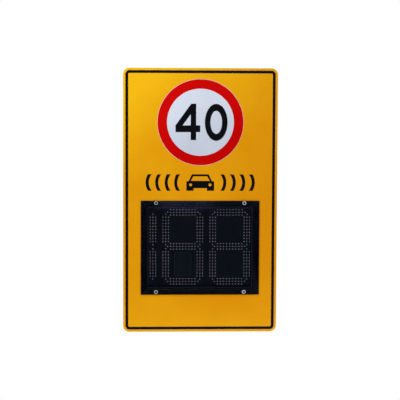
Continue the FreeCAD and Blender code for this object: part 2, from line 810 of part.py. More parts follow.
GEAR_HOLES = [
    (clear_of(size.gear_screw_radius), FRAME_SCREWS + TRAY_SCREWS + STRAP_SCREWS),
    (clear_of(size.stud_radius), GEAR_POSTS),
    (
        clear_of(size.small_screw_radius),
        BOARD_POSTS + RADAR_SCREWS + CONTROL_POSTS + POWER_FEET + TERMINAL_SCREWS,
    ),
    (1.8 * size.lead_radius, [(TENS_X, RADAR_Z), (DISPLAY_LEAD_X, DISPLAY_LEAD_Z)]),
]
for hole_radius, hole_places in GEAR_HOLES:
    drill(gear_plate, GEAR_FRONT, hole_radius, hole_places, 2 * size.gear_plate_thickness)
spacer = tube(clear_of(size.stud_radius), 2.4 * size.stud_radius, size.frame_depth, "y")
copies("gear_plate_spacers", spacer, at_depth(GEAR_POSTS, PLATE_REAR))


# Digit boards
def digit_board(label, x, width, holes=()):
    """One board of the display."""
    outline = (width, BOARD_HEIGHT, size.board_corner)
    return plate(label, BOARD_FRONT, size.board_thickness, outline, x, DIGIT_Z, holes)


RADAR_HOLE = (
    RADAR_WIDTH + 2 * size.radar_clearance,
    RADAR_HEIGHT + 2 * size.radar_clearance,
    size.radar_corner + size.radar_clearance,
)
digit_board("hundreds_board", HUNDREDS_X, 2 * size.board_margin)
digit_board("tens_board", TENS_X, BOARD_WIDTH, holes=[(RADAR_HOLE, TENS_X, RADAR_Z)])
digit_board("units_board", UNITS_X, BOARD_WIDTH)


# Lights: three rows to a segment, clear and red by turns
def segments():
    """Middle, length and direction of each segment of the three digits."""
    rows = [TOP_ROW, MIDDLE_ROW, BOTTOM_ROW]
    cells = [((TOP_ROW + MIDDLE_ROW) / 2, size.upper_cell), ((MIDDLE_ROW + BOTTOM_ROW) / 2, size.lower_cell)]
    level = [(digit, row, size.cell_width, "level") for digit in (TENS_X, UNITS_X) for row in rows]
    upright = [(column, middle, cell, "upright") for column in DIGIT_COLUMNS for middle, cell in cells]
    return level + upright


def lights():
    """The lights of both colours, as boxes on the boards."""
    width = size.led_width.number
    pitch = size.led_pitch.number
    package = Part.makeBox(width, size.led_height.number, width, V(-width / 2, 0, -width / 2))
    colours = ([], [])
    for x, z, span, direction in segments():
        middle = point(x, BOARD_FRONT - size.led_height, z)
        for line in (-1, 0, 1):
            setback = size.segment_tip + abs(line) * size.segment_setback
            half_count = math.floor((span.number / 2 - setback.number) / pitch + 1e-6)
            across = line * size.led_row_pitch.number
            for index in range(-half_count, half_count + 1):
                along = index * pitch
                shift = V(along, 0, across) if direction == "level" else V(across, 0, along)
                colours[(index + half_count) % 2].append(package.translated(middle + shift))
    return colours


clear_lights, red_lights = lights()
group("clear_leds", clear_lights)
group("red_leds", red_lights)

# Radar: a hollow cover over a board on the base's pegs
RADAR = (RADAR_WIDTH, RADAR_HEIGHT, size.radar_corner)
RADAR_INSIDE = (
    RADAR_WIDTH - 2 * size.radar_wall,
    RADAR_HEIGHT - 2 * size.radar_wall,
    size.radar_corner - size.radar_wall,
)
RADAR_FRONT = GEAR_FRONT - size.radar_depth
RADAR_SPLIT = GEAR_FRONT - size.radar_wall
RADAR_PEGS = corners_of(0.22 * RADAR_WIDTH, 0.3 * RADAR_HEIGHT, TENS_X, RADAR_Z)
radar_base = plate("radar_base", RADAR_SPLIT, size.radar_wall, RADAR, TENS_X, RADAR_Z)
pegs(radar_base, RADAR_SPLIT, 1.7 * size.small_screw_radius, RADAR_PEGS, size.radar_board_rise)
drill(radar_base, RADAR_SPLIT, clear_of(size.small_screw_radius), RADAR_SCREWS, 2 * size.radar_wall)
COVER_DEPTH = size.radar_depth - size.radar_wall
radar_cover = plate("radar_cover", RADAR_FRONT, COVER_DEPTH, RADAR, TENS_X, RADAR_Z)
radar_hollow = face_sketch(radar_cover, RADAR_SPLIT)
draw_rectangle(radar_hollow, *RADAR_INSIDE, TENS_X, RADAR_Z)
pocket(radar_cover, radar_hollow, COVER_DEPTH - size.radar_wall, back=True)
pegs(
    radar_cover, RADAR_SPLIT, 2.4 * size.small_screw_radius, RADAR_SCREWS, COVER_DEPTH - size.radar_wall / 2
)
drill(
    radar_cover, RADAR_SPLIT, size.small_screw_radius + size.thread_play, RADAR_SCREWS, 0.6 * COVER_DEPTH
)
RADAR_BOARD = (0.58 * RADAR_WIDTH, 0.78 * RADAR_HEIGHT, size.board_corner / 2)
RADAR_BOARD_FRONT = RADAR_SPLIT - size.radar_board_rise - size.board_thickness
plate("radar_board", RADAR_BOARD_FRONT, size.board_thickness, RADAR_BOARD, TENS_X, RADAR_Z)

# Control board with its soldered parts: width, height and place as shares of the board, rise of a standoff
CONTROL = (CONTROL_WIDTH, size.control_height, size.board_corner)
SOCKET_SHARE = -0.4
SIDE_SHARE = 0.4
SOLDERED = [
    (0.16, 0.16, 0.25, -0.14, 0.08),
    (0.1, 0.13, 0.2, 0.14, 0.1),
    (0.1, 0.2, 1.2, -0.32, 0.24),
    (0.15, 0.08, 1.4, 0, SOCKET_SHARE),
    (0.08, 0.2, 1.4, SIDE_SHARE, 0.2),
    (0.26, 0.07, 1.2, 0.13, 0.36),
]
control = plate("control_board", CONTROL_FRONT, size.board_thickness, CONTROL, TENS_X, CONTROL_Z)
drill(control, CONTROL_FRONT, clear_of(size.small_screw_radius), CONTROL_POSTS, 2 * size.board_thickness)
for wide, high, rise, across, up in SOLDERED:
    soldered = face_sketch(control, CONTROL_REAR)
    outline = (wide * CONTROL_WIDTH, high * size.control_height, size.board_corner / 4)
    draw_rectangle(soldered, *outline, TENS_X + across * CONTROL_WIDTH, CONTROL_Z + up * size.control_height)
    pad(control, soldered, rise * size.board_standoff, back=True)
STANDOFF_BORE = size.small_screw_radius + size.thread_play
standoff = tube(STANDOFF_BORE, 2.3 * size.small_screw_radius, size.board_standoff, "y")
copies("board_standoffs", standoff, at_depth(BOARD_POSTS, BOARD_REAR) + at_depth(CONTROL_POSTS, GEAR_REAR))

# Power unit with feet and fins, and the terminal block
POWER = (POWER_WIDTH, size.power_height, size.power_corner)
power = plate("power_unit", GEAR_REAR, size.power_depth, POWER, UNITS_X, CONTROL_Z)
feet = face_sketch(power, GEAR_REAR)
FEET = (POWER_WIDTH, size.power_height + 2 * size.power_lug, size.power_corner)
draw_rectangle(feet, *FEET, UNITS_X, CONTROL_Z)
pad(power, feet, size.power_foot, back=True)
drill(power, GEAR_REAR, clear_of(size.small_screw_radius), POWER_FEET, 2 * size.power_foot)
fins = face_sketch(power, GEAR_REAR + size.power_depth)
for fin in range(-3, 4):
    groove = (0.07 * POWER_WIDTH, size.power_height + size.power_corner, size.power_corner / 8)
    draw_rectangle(fins, *groove, UNITS_X + 0.13 * fin * POWER_WIDTH, CONTROL_Z)
pocket(power, fins, 0.25 * size.power_depth, back=True)
TERMINAL = (TERMINAL_WIDTH, size.terminal_height, size.board_corner)
TERMINAL_RISE = size.terminal_depth - size.terminal_floor
terminal = plate("terminal_block", GEAR_REAR, size.terminal_depth, TERMINAL, UNITS_X, TERMINAL_Z)
TERMINAL_REAR = GEAR_REAR + size.terminal_depth
drill(terminal, TERMINAL_REAR, 2.7 * size.small_screw_radius, TERMINAL_SCREWS, TERMINAL_RISE)
drill(terminal, GEAR_REAR, clear_of(size.small_screw_radius), TERMINAL_SCREWS, 1.5 * size.terminal_floor)
small_screw = screw(size.small_screw_radius, size.gear_plate_thickness + 0.7 * size.board_standoff, "y")
small_places = at_depth(BOARD_POSTS + RADAR_SCREWS, GEAR_REAR) + at_depth(CONTROL_POSTS, CONTROL_REAR)
small_places += at_depth(POWER_FEET, GEAR_REAR + size.power_foot)
small_places += at_depth(TERMINAL_SCREWS, GEAR_REAR + size.terminal_floor)
copies("small_screws", small_screw, small_places)

# Battery in its tray, held by a strap
BATTERY_FRONT = GEAR_REAR + size.tray_wall
BATTERY_REAR = BATTERY_FRONT + size.battery_depth
BATTERY = (size.battery_width, size.battery_height, size.battery_corner)
plate("battery", BATTERY_FRONT, size.battery_depth, BATTERY, 0, BATTERY_Z)
TRAY_INSIDE = BATTERY_REAR + size.battery_play
TRAY_OUTSIDE = TRAY_INSIDE + size.tray_wall
TRAY_BACK = BATTERY_FOOT + 0.35 * size.battery_height
tray = doc.addObject("PartDesign::Body", "battery_tray")
tray_profile = sketch_on(tray, "YZ_Plane", 0)
draw_polygon(tray_profile, [
    (GEAR_REAR, BATTERY_FOOT - size.tray_skirt),
    (BATTERY_FRONT, BATTERY_FOOT - size.tray_skirt),
    (BATTERY_FRONT, BATTERY_FOOT - size.tray_wall),
    (TRAY_OUTSIDE, BATTERY_FOOT - size.tray_wall),
    (TRAY_OUTSIDE, BATTERY_FOOT + size.tray_lip),
    (TRAY_INSIDE, BATTERY_FOOT + size.tray_lip),
    (TRAY_INSIDE, BATTERY_FOOT),
    (BATTERY_FRONT, BATTERY_FOOT),
    (BATTERY_FRONT, TRAY_BACK),
    (GEAR_REAR, TRAY_BACK),
])
pad(tray, tray_profile, size.battery_width, middle=True)
drill(tray, GEAR_REAR, clear_of(size.gear_screw_radius), TRAY_SCREWS, 2 * size.tray_wall)
node("battery_tray", tray)
STRAP_IN = size.battery_width / 2 + size.battery_play
STRAP_OUT = STRAP_IN + size.strap_thickness
STRAP_END = size.battery_width / 2 + size.strap_foot
STRAP_SEAT = GEAR_REAR + size.strap_thickness
strap = doc.addObject("PartDesign::Body", "battery_strap")
strap_profile = sketch_on(strap, "XY_Plane", BATTERY_Z)
strap_right = [
    (STRAP_IN, BATTERY_REAR),
    (STRAP_IN, GEAR_REAR),
    (STRAP_END, GEAR_REAR),
    (STRAP_END, STRAP_SEAT),
    (STRAP_OUT, STRAP_SEAT),
    (STRAP_OUT, BATTERY_REAR + size.strap_thickness),
]
draw_polygon(strap_profile, strap_right + [(-x, y) for x, y in reversed(strap_right)])
pad(strap, strap_profile, size.strap_width, middle=True)
drill(strap, GEAR_REAR, clear_of(size.gear_screw_radius), STRAP_SCREWS, 2 * size.strap_thickness)
node("battery_strap", strap)
gear_screw = screw(size.gear_screw_radius, 6 * size.gear_screw_radius, "y")
gear_places = at_depth(FRAME_SCREWS, GEAR_REAR) + at_depth(TRAY_SCREWS, BATTERY_FRONT)
copies("gear_screws", gear_screw, gear_places + at_depth(STRAP_SCREWS, STRAP_SEAT))


# Leads inside, in straight runs that turn in arcs
def lead(label, *places):
    """A round lead through the places."""
    path = [point(*place) for place in places]
    bend = size.lead_bend.number
    edges = []
    start = path[0]
    for before, corner, after in zip(path, path[1:], path[2:]):
        into = (corner - before).normalize()
        away = (after - corner).normalize()
        half_turn = into.getAngle(away) / 2
        first = corner - into * (bend * math.tan(half_turn))
        last = corner + away * (bend * math.tan(half_turn))
        centre = corner + (away - into).normalize() * (bend / math.cos(half_turn))
        middle = centre + (corner - centre).normalize() * bend
        edges.append(Part.LineSegment(start, first).toShape())
        edges.append(Part.Arc(first, middle, last).toShape())
        start = last
    edges.append(Part.LineSegment(start, path[-1]).toShape())
    ring = Part.Wire([Part.makeCircle(size.lead_radius.number, path[0], path[1] - path[0])])
    return group(label, [Part.Wire(edges).makePipeShell([ring], True, False)])


SOCKET_Y = CONTROL_REAR + 0.8 * size.board_standoff
SOCKET_Z = CONTROL_Z + (SOCKET_SHARE - 0.04) * size.control_height
SIDE_SOCKET_X = TENS_X + (SIDE_SHARE + 0.04) * CONTROL_WIDTH
LEAD_Y = GEAR_REAR + 0.5 * size.terminal_depth
POWER_FOOT_Z = CONTROL_Z - size.power_height / 2
BATTERY_LEAD_X = 0.4 * size.battery_width
BATTERY_TOP = BATTERY_FOOT + size.battery_height
BATTERY_LEAD_TOP = BATTERY_TOP + 2.5 * size.lead_bend
POWER_LEAD_X = UNITS_X + 0.3 * POWER_WIDTH
lead(
    "radar_lead",
    (TENS_X, GEAR_FRONT, RADAR_Z),
    (TENS_X, SOCKET_Y, RADAR_Z),
    (TENS_X, SOCKET_Y, SOCKET_Z),
)
lead(
    "display_lead",
    (DISPLAY_LEAD_X, BOARD_REAR, DISPLAY_LEAD_Z),
    (DISPLAY_LEAD_X, SOCKET_Y, DISPLAY_LEAD_Z),
    (SIDE_SOCKET_X, SOCKET_Y, DISPLAY_LEAD_Z),
)
lead(
    "supply_lead",
    (UNITS_X, LEAD_Y, TERMINAL_Z + size.terminal_height / 2),
    (UNITS_X, LEAD_Y, POWER_FOOT_Z),
)
lead(
    "battery_lead",
    (BATTERY_LEAD_X, LEAD_Y, BATTERY_TOP),
    (BATTERY_LEAD_X, LEAD_Y, BATTERY_LEAD_TOP),
    (POWER_LEAD_X, LEAD_Y, BATTERY_LEAD_TOP),
    (POWER_LEAD_X, LEAD_Y, CONTROL_Z + size.power_height / 2),
)

# Cabinet: a folded tray with a flange, open at the front
CABINET = (CABINET_WIDTH, CABINET_HEIGHT, size.cabinet_corner)
CABINET_INSIDE = (
    CABINET_WIDTH - 2 * size.cabinet_wall,
    CABINET_HEIGHT - 2 * size.cabinet_wall,
    size.cabinet_corner - size.cabinet_wall,
)
FLANGE = (
    CABINET_WIDTH + 2 * size.flange_width,
    CABINET_HEIGHT + 2 * size.flange_width,
    size.cabinet_corner + size.flange_width,
)
ACCESS = (COVER_WIDTH - 2 * size.cover_rim, COVER_HEIGHT - 2 * size.cover_rim, size.cover_corner)
WALL_INSIDE = CABINET_REAR - size.cabinet_wall
ENTRY_X = 0.3 * CABINET_WIDTH
ENTRY_Y = CABINET_REAR - 0.4 * size.cabinet_depth
VENT_THREAD = 0.6 * size.gland_thread
cabinet = plate("cabinet", CABINET_FRONT, size.cabinet_depth, CABINET)
round_rear(cabinet, 1.5 * size.cabinet_wall)
flange = face_sketch(cabinet, CABINET_FRONT)
draw_rectangle(flange, *FLANGE)
pad(cabinet, flange, size.cabinet_wall, back=True)
hollow = face_sketch(cabinet, CABINET_FRONT)
draw_rectangle(hollow, *CABINET_INSIDE)
pocket(cabinet, hollow, size.cabinet_depth - size.cabinet_wall)
access = face_sketch(cabinet, CABINET_REAR)
draw_rectangle(access, *ACCESS)
pocket(cabinet, access, 4 * size.cabinet_wall, middle=True)
drill(cabinet, CABINET_FRONT, clear_of(size.stud_radius), STUDS, 2 * size.cabinet_wall)
drill(cabinet, CABINET_REAR, clear_of(size.bolt_radius), RAIL_SCREWS, 2 * size.cabinet_wall)
drill(cabinet, CABINET_REAR, size.rivet_radius, COVER_SCREWS, 2 * size.cabinet_wall)
entries = sketch_on(cabinet, "XY_Plane", CABINET_FOOT)
draw_circle(entries, clear_of(size.gland_thread), ENTRY_X, ENTRY_Y)
draw_circle(entries, clear_of(VENT_THREAD), -ENTRY_X, ENTRY_Y)
pocket(cabinet, entries, 4 * size.cabinet_wall, middle=True)
cabinet_seal = plate(
    "cabinet_seal", PLATE_REAR, size.cabinet_seal, FLANGE, holes=[(CABINET_INSIDE, 0, 0)]
)
drill(cabinet_seal, PLATE_REAR, clear_of(size.stud_radius), STUDS, 2 * size.cabinet_seal)
stud_nut = nut(size.stud_radius, "y")
nut_places = at_depth(STUDS, CABINET_FRONT + size.cabinet_wall) + at_depth(GEAR_POSTS, GEAR_REAR)
copies("stud_nuts", stud_nut, nut_places)

# Rear cover, its seal and its fixings
COVER = (COVER_WIDTH, COVER_HEIGHT, size.cover_corner)
cover = plate("rear_cover", COVER_FRONT, size.cover_wall, COVER)
raised = face_sketch(cover, COVER_FRONT)
draw_rectangle(raised, *ACCESS)
pad(cover, raised, size.cover_rise + size.cover_wall, back=True)
round_rear(cover, 1.5 * size.cover_wall)
dish = face_sketch(cover, COVER_FRONT)
DISH = (
    ACCESS[0] - 2 * size.cover_wall,
    ACCESS[1] - 2 * size.cover_wall,
    size.cover_corner - size.cover_wall,
)
draw_rectangle(dish, *DISH)
pocket(cover, dish, size.cover_rise)
drill(cover, COVER_FRONT, clear_of(size.stud_radius), COVER_SCREWS, 2 * size.cover_wall)
cover_seal = plate("rear_cover_seal", CABINET_REAR, size.cover_seal, COVER, holes=[(ACCESS, 0, 0)])
drill(cover_seal, CABINET_REAR, 1.3 * size.rivet_radius, COVER_SCREWS, 2 * size.cover_seal)
COVER_GRIP = COVER_REAR - WALL_INSIDE
cover_screw = screw(size.stud_radius, COVER_GRIP + 3.6 * size.stud_radius, "y")
copies("rear_cover_screws", cover_screw, at_depth(COVER_SCREWS, COVER_REAR))
rivet_sleeve = rod(size.rivet_radius, 3.5 * size.rivet_radius, HERE, "-y")
rivet_collar = rod(1.5 * size.rivet_radius, size.cabinet_wall / 2, (0, -size.cabinet_wall, 0), "-y")
rivet_bore = rod(size.stud_radius + size.thread_play, 3.5 * size.rivet_radius, HERE, "-y")
copies("rivet_nuts", cut(join(rivet_sleeve, rivet_collar), rivet_bore), at_depth(COVER_SCREWS, CABINET_REAR))


# Rails across the back
def rail(label, z):
    """A channel with lips, open to the rear."""
    body = doc.addObject("PartDesign::Body", label)
    sketch = sketch_on(body, "YZ_Plane", 0)
    outer = size.rail_height / 2
    inner = outer - size.rail_wall
    lip = size.rail_slot / 2
    outside = [(RAIL_REAR, lip), (RAIL_REAR, outer), (CABINET_REAR, outer)]
    inside = [
        (CABINET_REAR + size.rail_wall, inner),
        (RAIL_REAR - size.rail_wall, inner),
        (RAIL_REAR - size.rail_wall, lip),
    ]
    lower = [(y, -up) for side in (outside, inside) for y, up in reversed(side)]
    draw_polygon(sketch, [(y, z + up) for y, up in outside + lower + inside])
    pad(body, sketch, RAIL_LENGTH, middle=True)
    places = [(x, z) for x in RAIL_SCREW_X]
    drill(body, CABINET_REAR, clear_of(size.bolt_radius), places, 2 * size.rail_wall)
    return node(label, body)


rail("upper_rail", RAIL_RISE)
rail("lower_rail", -RAIL_RISE)
rail_screw = screw(size.bolt_radius, size.rail_wall + size.cabinet_wall + 3 * size.bolt_radius, "y")
copies("rail_screws", rail_screw, at_depth(RAIL_SCREWS, CABINET_REAR + size.rail_wall))
copies("rail_nuts", nut(size.bolt_radius, "-y"), at_depth(RAIL_SCREWS, WALL_INSIDE))


# Clamps: a saddle on the rail and a strap behind the post
def clamp_half(label, z, side):
    """Half of a clamp ring with an ear on each side; side -1 is the front half."""
    foot = z - size.clamp_width / 2
    reach = size.post_radius + size.clamp_wall
    face = side * size.clamp_gap / 2
    ear = face if side > 0 else face - size.clamp_wall
    outer = rod(reach, size.clamp_width, (0, 0, foot), "z")
    half = block(
        (-reach, face if side > 0 else face - reach, foot), (2 * reach, reach, size.clamp_width)
    )
    ring = doc.addObject("Part::Common", "HalfRing")
    ring.Base = outer
    ring.Tool = half
    pieces = [ring, block((-EAR_REACH, ear, foot), (2 * EAR_REACH, size.clamp_wall, size.clamp_width))]
    if side < 0:
        seat = (-size.clamp_width / 2, RAIL_REAR, foot)
        pieces.append(block(seat, (size.clamp_width, 2 * size.clamp_seat, size.clamp_width)))
    bore = rod(size.post_radius, size.clamp_width, (0, 0, foot), "z")
    hole = clear_of(size.clamp_bolt_radius)
    holes = [
        rod(hole, 3 * size.clamp_wall, (a * CLAMP_BOLT_X, ear - size.clamp_wall, z), "y") for a in (-1, 1)
    ]
    return node(label, cut(join(*pieces), bore, *holes))


for level, rise in (("upper", RAIL_RISE), ("lower", -RAIL_RISE)):
    clamp_half(f"{level}_clamp_saddle", rise, -1)
    clamp_half(f"{level}_clamp_strap", rise, 1)
HEAD_SEAT = RAIL_REAR - size.rail_wall
HEAD_THICKNESS = 1.5 * size.clamp_bolt_radius
STRAP_REAR = size.clamp_gap / 2 + size.clamp_wall
CLAMP_WASHER = 0.4 * size.clamp_bolt_radius
clamp_bolt = join(
    block(
        (-2 * size.clamp_bolt_radius, -HEAD_THICKNESS, -0.36 * size.rail_height),
        (4 * size.clamp_bolt_radius, HEAD_THICKNESS, 0.72 * size.rail_height),
    ),
    rod(size.clamp_bolt_radius, STRAP_REAR - HEAD_SEAT + 3.25 * size.clamp_bolt_radius, HERE, "y"),
)
copies("clamp_bolts", clamp_bolt, at_depth(CLAMP_BOLTS, HEAD_SEAT))
clamp_washer = tube(clear_of(size.clamp_bolt_radius), 2 * size.clamp_bolt_radius, CLAMP_WASHER, "y")
copies("clamp_washers", clamp_washer, at_depth(CLAMP_BOLTS, STRAP_REAR))
copies("clamp_nuts", nut(size.clamp_bolt_radius, "y"), at_depth(CLAMP_BOLTS, STRAP_REAR + CLAMP_WASHER))

# Cable gland and breather under the cabinet
GLAND_COLLAR = 0.7 * size.gland_thread
GLAND_STEM = size.cabinet_wall + 0.9 * size.gland_thread
GLAND_CAP = 2 * size.gland_thread
COLLAR_FOOT = CABINET_FOOT - GLAND_COLLAR
entry = (ENTRY_X, ENTRY_Y, CABINET_FOOT)
below_collar = (ENTRY_X, ENTRY_Y, COLLAR_FOOT)
cap_step = (ENTRY_X, ENTRY_Y, COLLAR_FOOT - 0.7 * GLAND_CAP)
gland_body = cut(
    join(
        rod(size.gland_thread, GLAND_STEM, entry, "z"),
        hexagon(2.5 * size.gland_thread, GLAND_COLLAR, entry, "-z"),
    ),
    rod(size.gland_bore, GLAND_COLLAR + GLAND_STEM, below_collar, "z"),
)
node("gland_body", gland_body)
gland_cap = cut(
    join(
        rod(1.2 * size.gland_thread, 0.7 * GLAND_CAP, below_collar, "-z"),
        rod(0.95 * size.gland_thread, 0.3 * GLAND_CAP, cap_step, "-z"),
    ),
    rod(size.gland_bore, GLAND_CAP, below_collar, "-z"),
)
node("gland_cap", gland_cap)
locknut = nut(size.gland_thread, "z", flats=2.6, thickness=0.5)
copies("gland_locknut", locknut, [(ENTRY_X, ENTRY_Y, CABINET_FOOT + size.cabinet_wall)])
vent_entry = (-ENTRY_X, ENTRY_Y, CABINET_FOOT)
vent = join(
    rod(VENT_THREAD, size.cabinet_wall + 0.8 * size.gland_thread, vent_entry, "z"),
    rod(1.1 * size.gland_thread, 0.9 * size.gland_thread, vent_entry, "-z"),
)
node("breather_vent", vent)

doc.recompute()
for item in doc.Objects:
    if {"Invalid", "Error"} & set(item.State):
        raise ValueError(f"{item.Label} is not sound")

os.makedirs("parts", exist_ok=True)
for item in nodes:
    if item.Shape.isNull() or not item.Shape.isValid():
        raise ValueError(f"{item.Label} has no sound shape")
    item.Shape.exportStep(f"parts/{item.Label}.step")
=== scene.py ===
"""Radar speed sign: finishes, fine pieces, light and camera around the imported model."""
import json
import math

import bmesh
import bpy
from mathutils import Matrix, Vector


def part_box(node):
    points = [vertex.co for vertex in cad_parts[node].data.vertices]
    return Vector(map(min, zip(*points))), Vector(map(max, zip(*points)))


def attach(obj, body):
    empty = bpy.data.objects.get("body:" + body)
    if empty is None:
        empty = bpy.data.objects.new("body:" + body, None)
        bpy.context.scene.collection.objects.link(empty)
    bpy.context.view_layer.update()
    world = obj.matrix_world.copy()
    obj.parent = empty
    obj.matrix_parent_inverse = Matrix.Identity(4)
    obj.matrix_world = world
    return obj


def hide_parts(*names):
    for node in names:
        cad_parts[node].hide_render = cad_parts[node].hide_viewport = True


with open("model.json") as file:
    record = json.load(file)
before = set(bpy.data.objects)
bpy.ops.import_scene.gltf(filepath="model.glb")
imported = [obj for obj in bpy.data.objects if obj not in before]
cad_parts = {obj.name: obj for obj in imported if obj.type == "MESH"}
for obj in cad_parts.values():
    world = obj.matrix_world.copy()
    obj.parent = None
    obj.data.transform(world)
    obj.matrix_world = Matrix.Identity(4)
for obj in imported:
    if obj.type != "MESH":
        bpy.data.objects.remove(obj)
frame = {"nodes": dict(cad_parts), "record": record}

MM = 0.001
WELD = MM / 1000
ROOT = "root"
scene = bpy.context.scene
nodes = frame["nodes"]
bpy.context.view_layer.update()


def linear(red, green, blue):
    """A colour from its screen values, 0 to 255, with full alpha."""
    shares = [value / 255 for value in (red, green, blue)]
    return [s / 12.92 if s <= 0.04045 else ((s + 0.055) / 1.055) ** 2.4 for s in shares] + [1.0]


# Node trees
MIX_FIRST = 6
MIX_SECOND = 7
MIX_RESULT = 2


class Nodes:
    """A node tree, with short ways to add to it."""

    def __init__(self, tree):
        self.tree = tree

    def feed(self, socket, value):
        """Link an output to a socket, or set the socket to a plain value."""
        if isinstance(value, bpy.types.NodeSocket):
            self.tree.links.new(value, socket)
        else:
            socket.default_value = value

    def node(self, kind, inputs=None, **settings):
        """A new node with its settings, and its inputs by name or number."""
        item = self.tree.nodes.new(kind)
        for key, value in settings.items():
            setattr(item, key, value)
        for key, value in (inputs or {}).items():
            self.feed(item.inputs[key], value)
        return item

    def math(self, operation, *values):
        """One arithmetic step."""
        return self.node("ShaderNodeMath", dict(enumerate(values)), operation=operation).outputs[0]

    def axes(self, vector):
        """The outputs X, Y and Z of a vector."""
        return self.node("ShaderNodeSeparateXYZ", {"Vector": vector}).outputs

    def spread(self, value, low, high, to_low=0.0, to_high=1.0):
        """Carry a value from one range to another."""
        ends = {"From Min": low, "From Max": high, "To Min": to_low, "To Max": to_high}
        return self.node("ShaderNodeMapRange", {"Value": value} | ends).outputs["Result"]

    def mixed(self, share, first, second):
        """A colour between two, by a share."""
        inputs = {"Factor": share, MIX_FIRST: first, MIX_SECOND: second}
        return self.node("ShaderNodeMix", inputs, data_type="RGBA").outputs[MIX_RESULT]

    def either(self, share, first, second):
        """One shader or another, by a share."""
        inputs = {0: share, 1: first.outputs[0], 2: second.outputs[0]}
        return self.node("ShaderNodeMixShader", inputs).outputs[0]

    def seen_directly(self):
        """One for a ray from the camera, a mirror or a clear piece, and nought for the rest."""
        path = self.node("ShaderNodeLightPath").outputs
        mirrored = self.math("MAXIMUM", path["Is Camera Ray"], path["Is Glossy Ray"])
        return self.math("MAXIMUM", mirrored, path["Is Transmission Ray"])


# Materials
MATERIALS = {}
EVEN = (1, 1, 1)
NOISE_DETAIL = 3.0
NOISE_REACH = (0.3, 0.7)
NOISE_MIDDLE = (0.35, 0.65)
PATCH_GRAIN = 90 * MM
HEXAGON_TURNS = (0, 60, 120)
COSINE_SUM = (-1.5, 3.0)
LEAVING_FRONT = (-0.95, -0.75)
NEARING_WALL = (-0.5, -0.2)


class Surface(Nodes):
    """A procedural material, built back from its shader and kept in MATERIALS."""

    def __init__(self, name, **sockets):
        self.material = bpy.data.materials.new(name)
        self.material.use_nodes = True
        super().__init__(self.material.node_tree)
        MATERIALS[name] = self.material
        self.shader = self.tree.nodes["Principled BSDF"]
        self.place = self.node("ShaderNodeTexCoord").outputs["Object"]
        for socket, value in sockets.items():
            self.shader.inputs[socket.replace("_", " ")].default_value = value

    def mapped(self, **changes):
        """Object coordinates, scaled or turned."""
        return self.node("ShaderNodeMapping", {"Vector": self.place} | changes).outputs["Vector"]

    def noise(self, grain, stretch=EVEN):
        """Soft noise of about the grain's length, longer along an axis whose stretch is under one."""
        inputs = {"Vector": self.mapped(Scale=stretch), "Scale": 1 / grain, "Detail": NOISE_DETAIL}
        return self.node("ShaderNodeTexNoise", inputs).outputs[0]

    def cells(self, grain):
        """Irregular cells of about the grain's length."""
        inputs = {"Vector": self.place, "Scale": 1 / grain}
        return self.node("ShaderNodeTexVoronoi", inputs).outputs["Color"]

    def honeycomb(self, pitch):
        """Six-sided cells across the face, from low at their edges to high at their middles."""
        wave = 4 * math.pi / (math.sqrt(3) * pitch)
        total = 0.0
        for turn in HEXAGON_TURNS:
            angle = math.radians(turn)
            inputs = {0: self.place, 1: (wave * math.cos(angle), 0, wave * math.sin(angle))}
            dot = self.node("ShaderNodeVectorMath", inputs, operation="DOT_PRODUCT")
            total = self.math("ADD", total, self.math("COSINE", dot.outputs["Value"]))
        return self.spread(total, *COSINE_SUM)

    def inwards(self, node, corner):
        """How far in a place lies from a node's rounded outline, seen from the front."""
        low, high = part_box(node)
        place = self.axes(self.place)
        past = []
        for axis, name in ((0, "X"), (2, "Z")):
            middle = (low[axis] + high[axis]) / 2
            straight = (high[axis] - low[axis]) / 2 - corner
            off = self.math("ABSOLUTE", self.math("SUBTRACT", place[name], middle))
            past.append(self.math("SUBTRACT", off, straight))
        beyond = [self.math("MAXIMUM", value, 0.0) for value in past]
        squares = [self.math("MULTIPLY", value, value) for value in beyond]
        reach = self.math("SQRT", self.math("ADD", *squares))
        flat = self.math("MINIMUM", self.math("MAXIMUM", *past), 0.0)
        return self.math("SUBTRACT", corner, self.math("ADD", reach, flat))

    def front_edges(self):
        """One on faces turned between the front and the walls, and nought on both of those."""
        facing = self.axes(self.node("ShaderNodeNewGeometry").outputs["Normal"])["Y"]
        off_front = self.spread(facing, *LEAVING_FRONT)
        off_walls = self.spread(facing, *NEARING_WALL, 1.0, 0.0)
        return self.math("MULTIPLY", off_front, off_walls)

    def patches(self, dark, light):
        """Broad changes between two tones."""
        return self.mixed(self.spread(self.noise(PATCH_GRAIN), *NOISE_MIDDLE), dark, light)

    def colour(self, value):
        """Set the base colour."""
        self.feed(self.shader.inputs["Base Color"], value)

    def roughness(self, value, low, high):
        """Spread a noise over the roughness."""
        self.feed(self.shader.inputs["Roughness"], self.spread(value, *NOISE_REACH, low, high))

    def bump(self, height, depth):
        """Raise the surface by a depth in metres."""
        item = self.node("ShaderNodeBump", {"Height": height, "Distance": depth})
        self.feed(self.shader.inputs["Normal"], item.outputs["Normal"])


def grained(name, dark, light, roughness, grain, depth, stretch=EVEN, edge_highlight=None, **sockets):
    """A finish with broad changes of tone and a fine grain, and a painted highlight on its front edges.
    """
    surface = Surface(name, **sockets)
    tone = surface.patches(dark, light)
    if edge_highlight:
        tone = surface.mixed(surface.front_edges(), tone, edge_highlight)
    surface.colour(tone)
    fine = surface.noise(grain, stretch)
    surface.roughness(fine, *roughness)
    surface.bump(fine, depth)


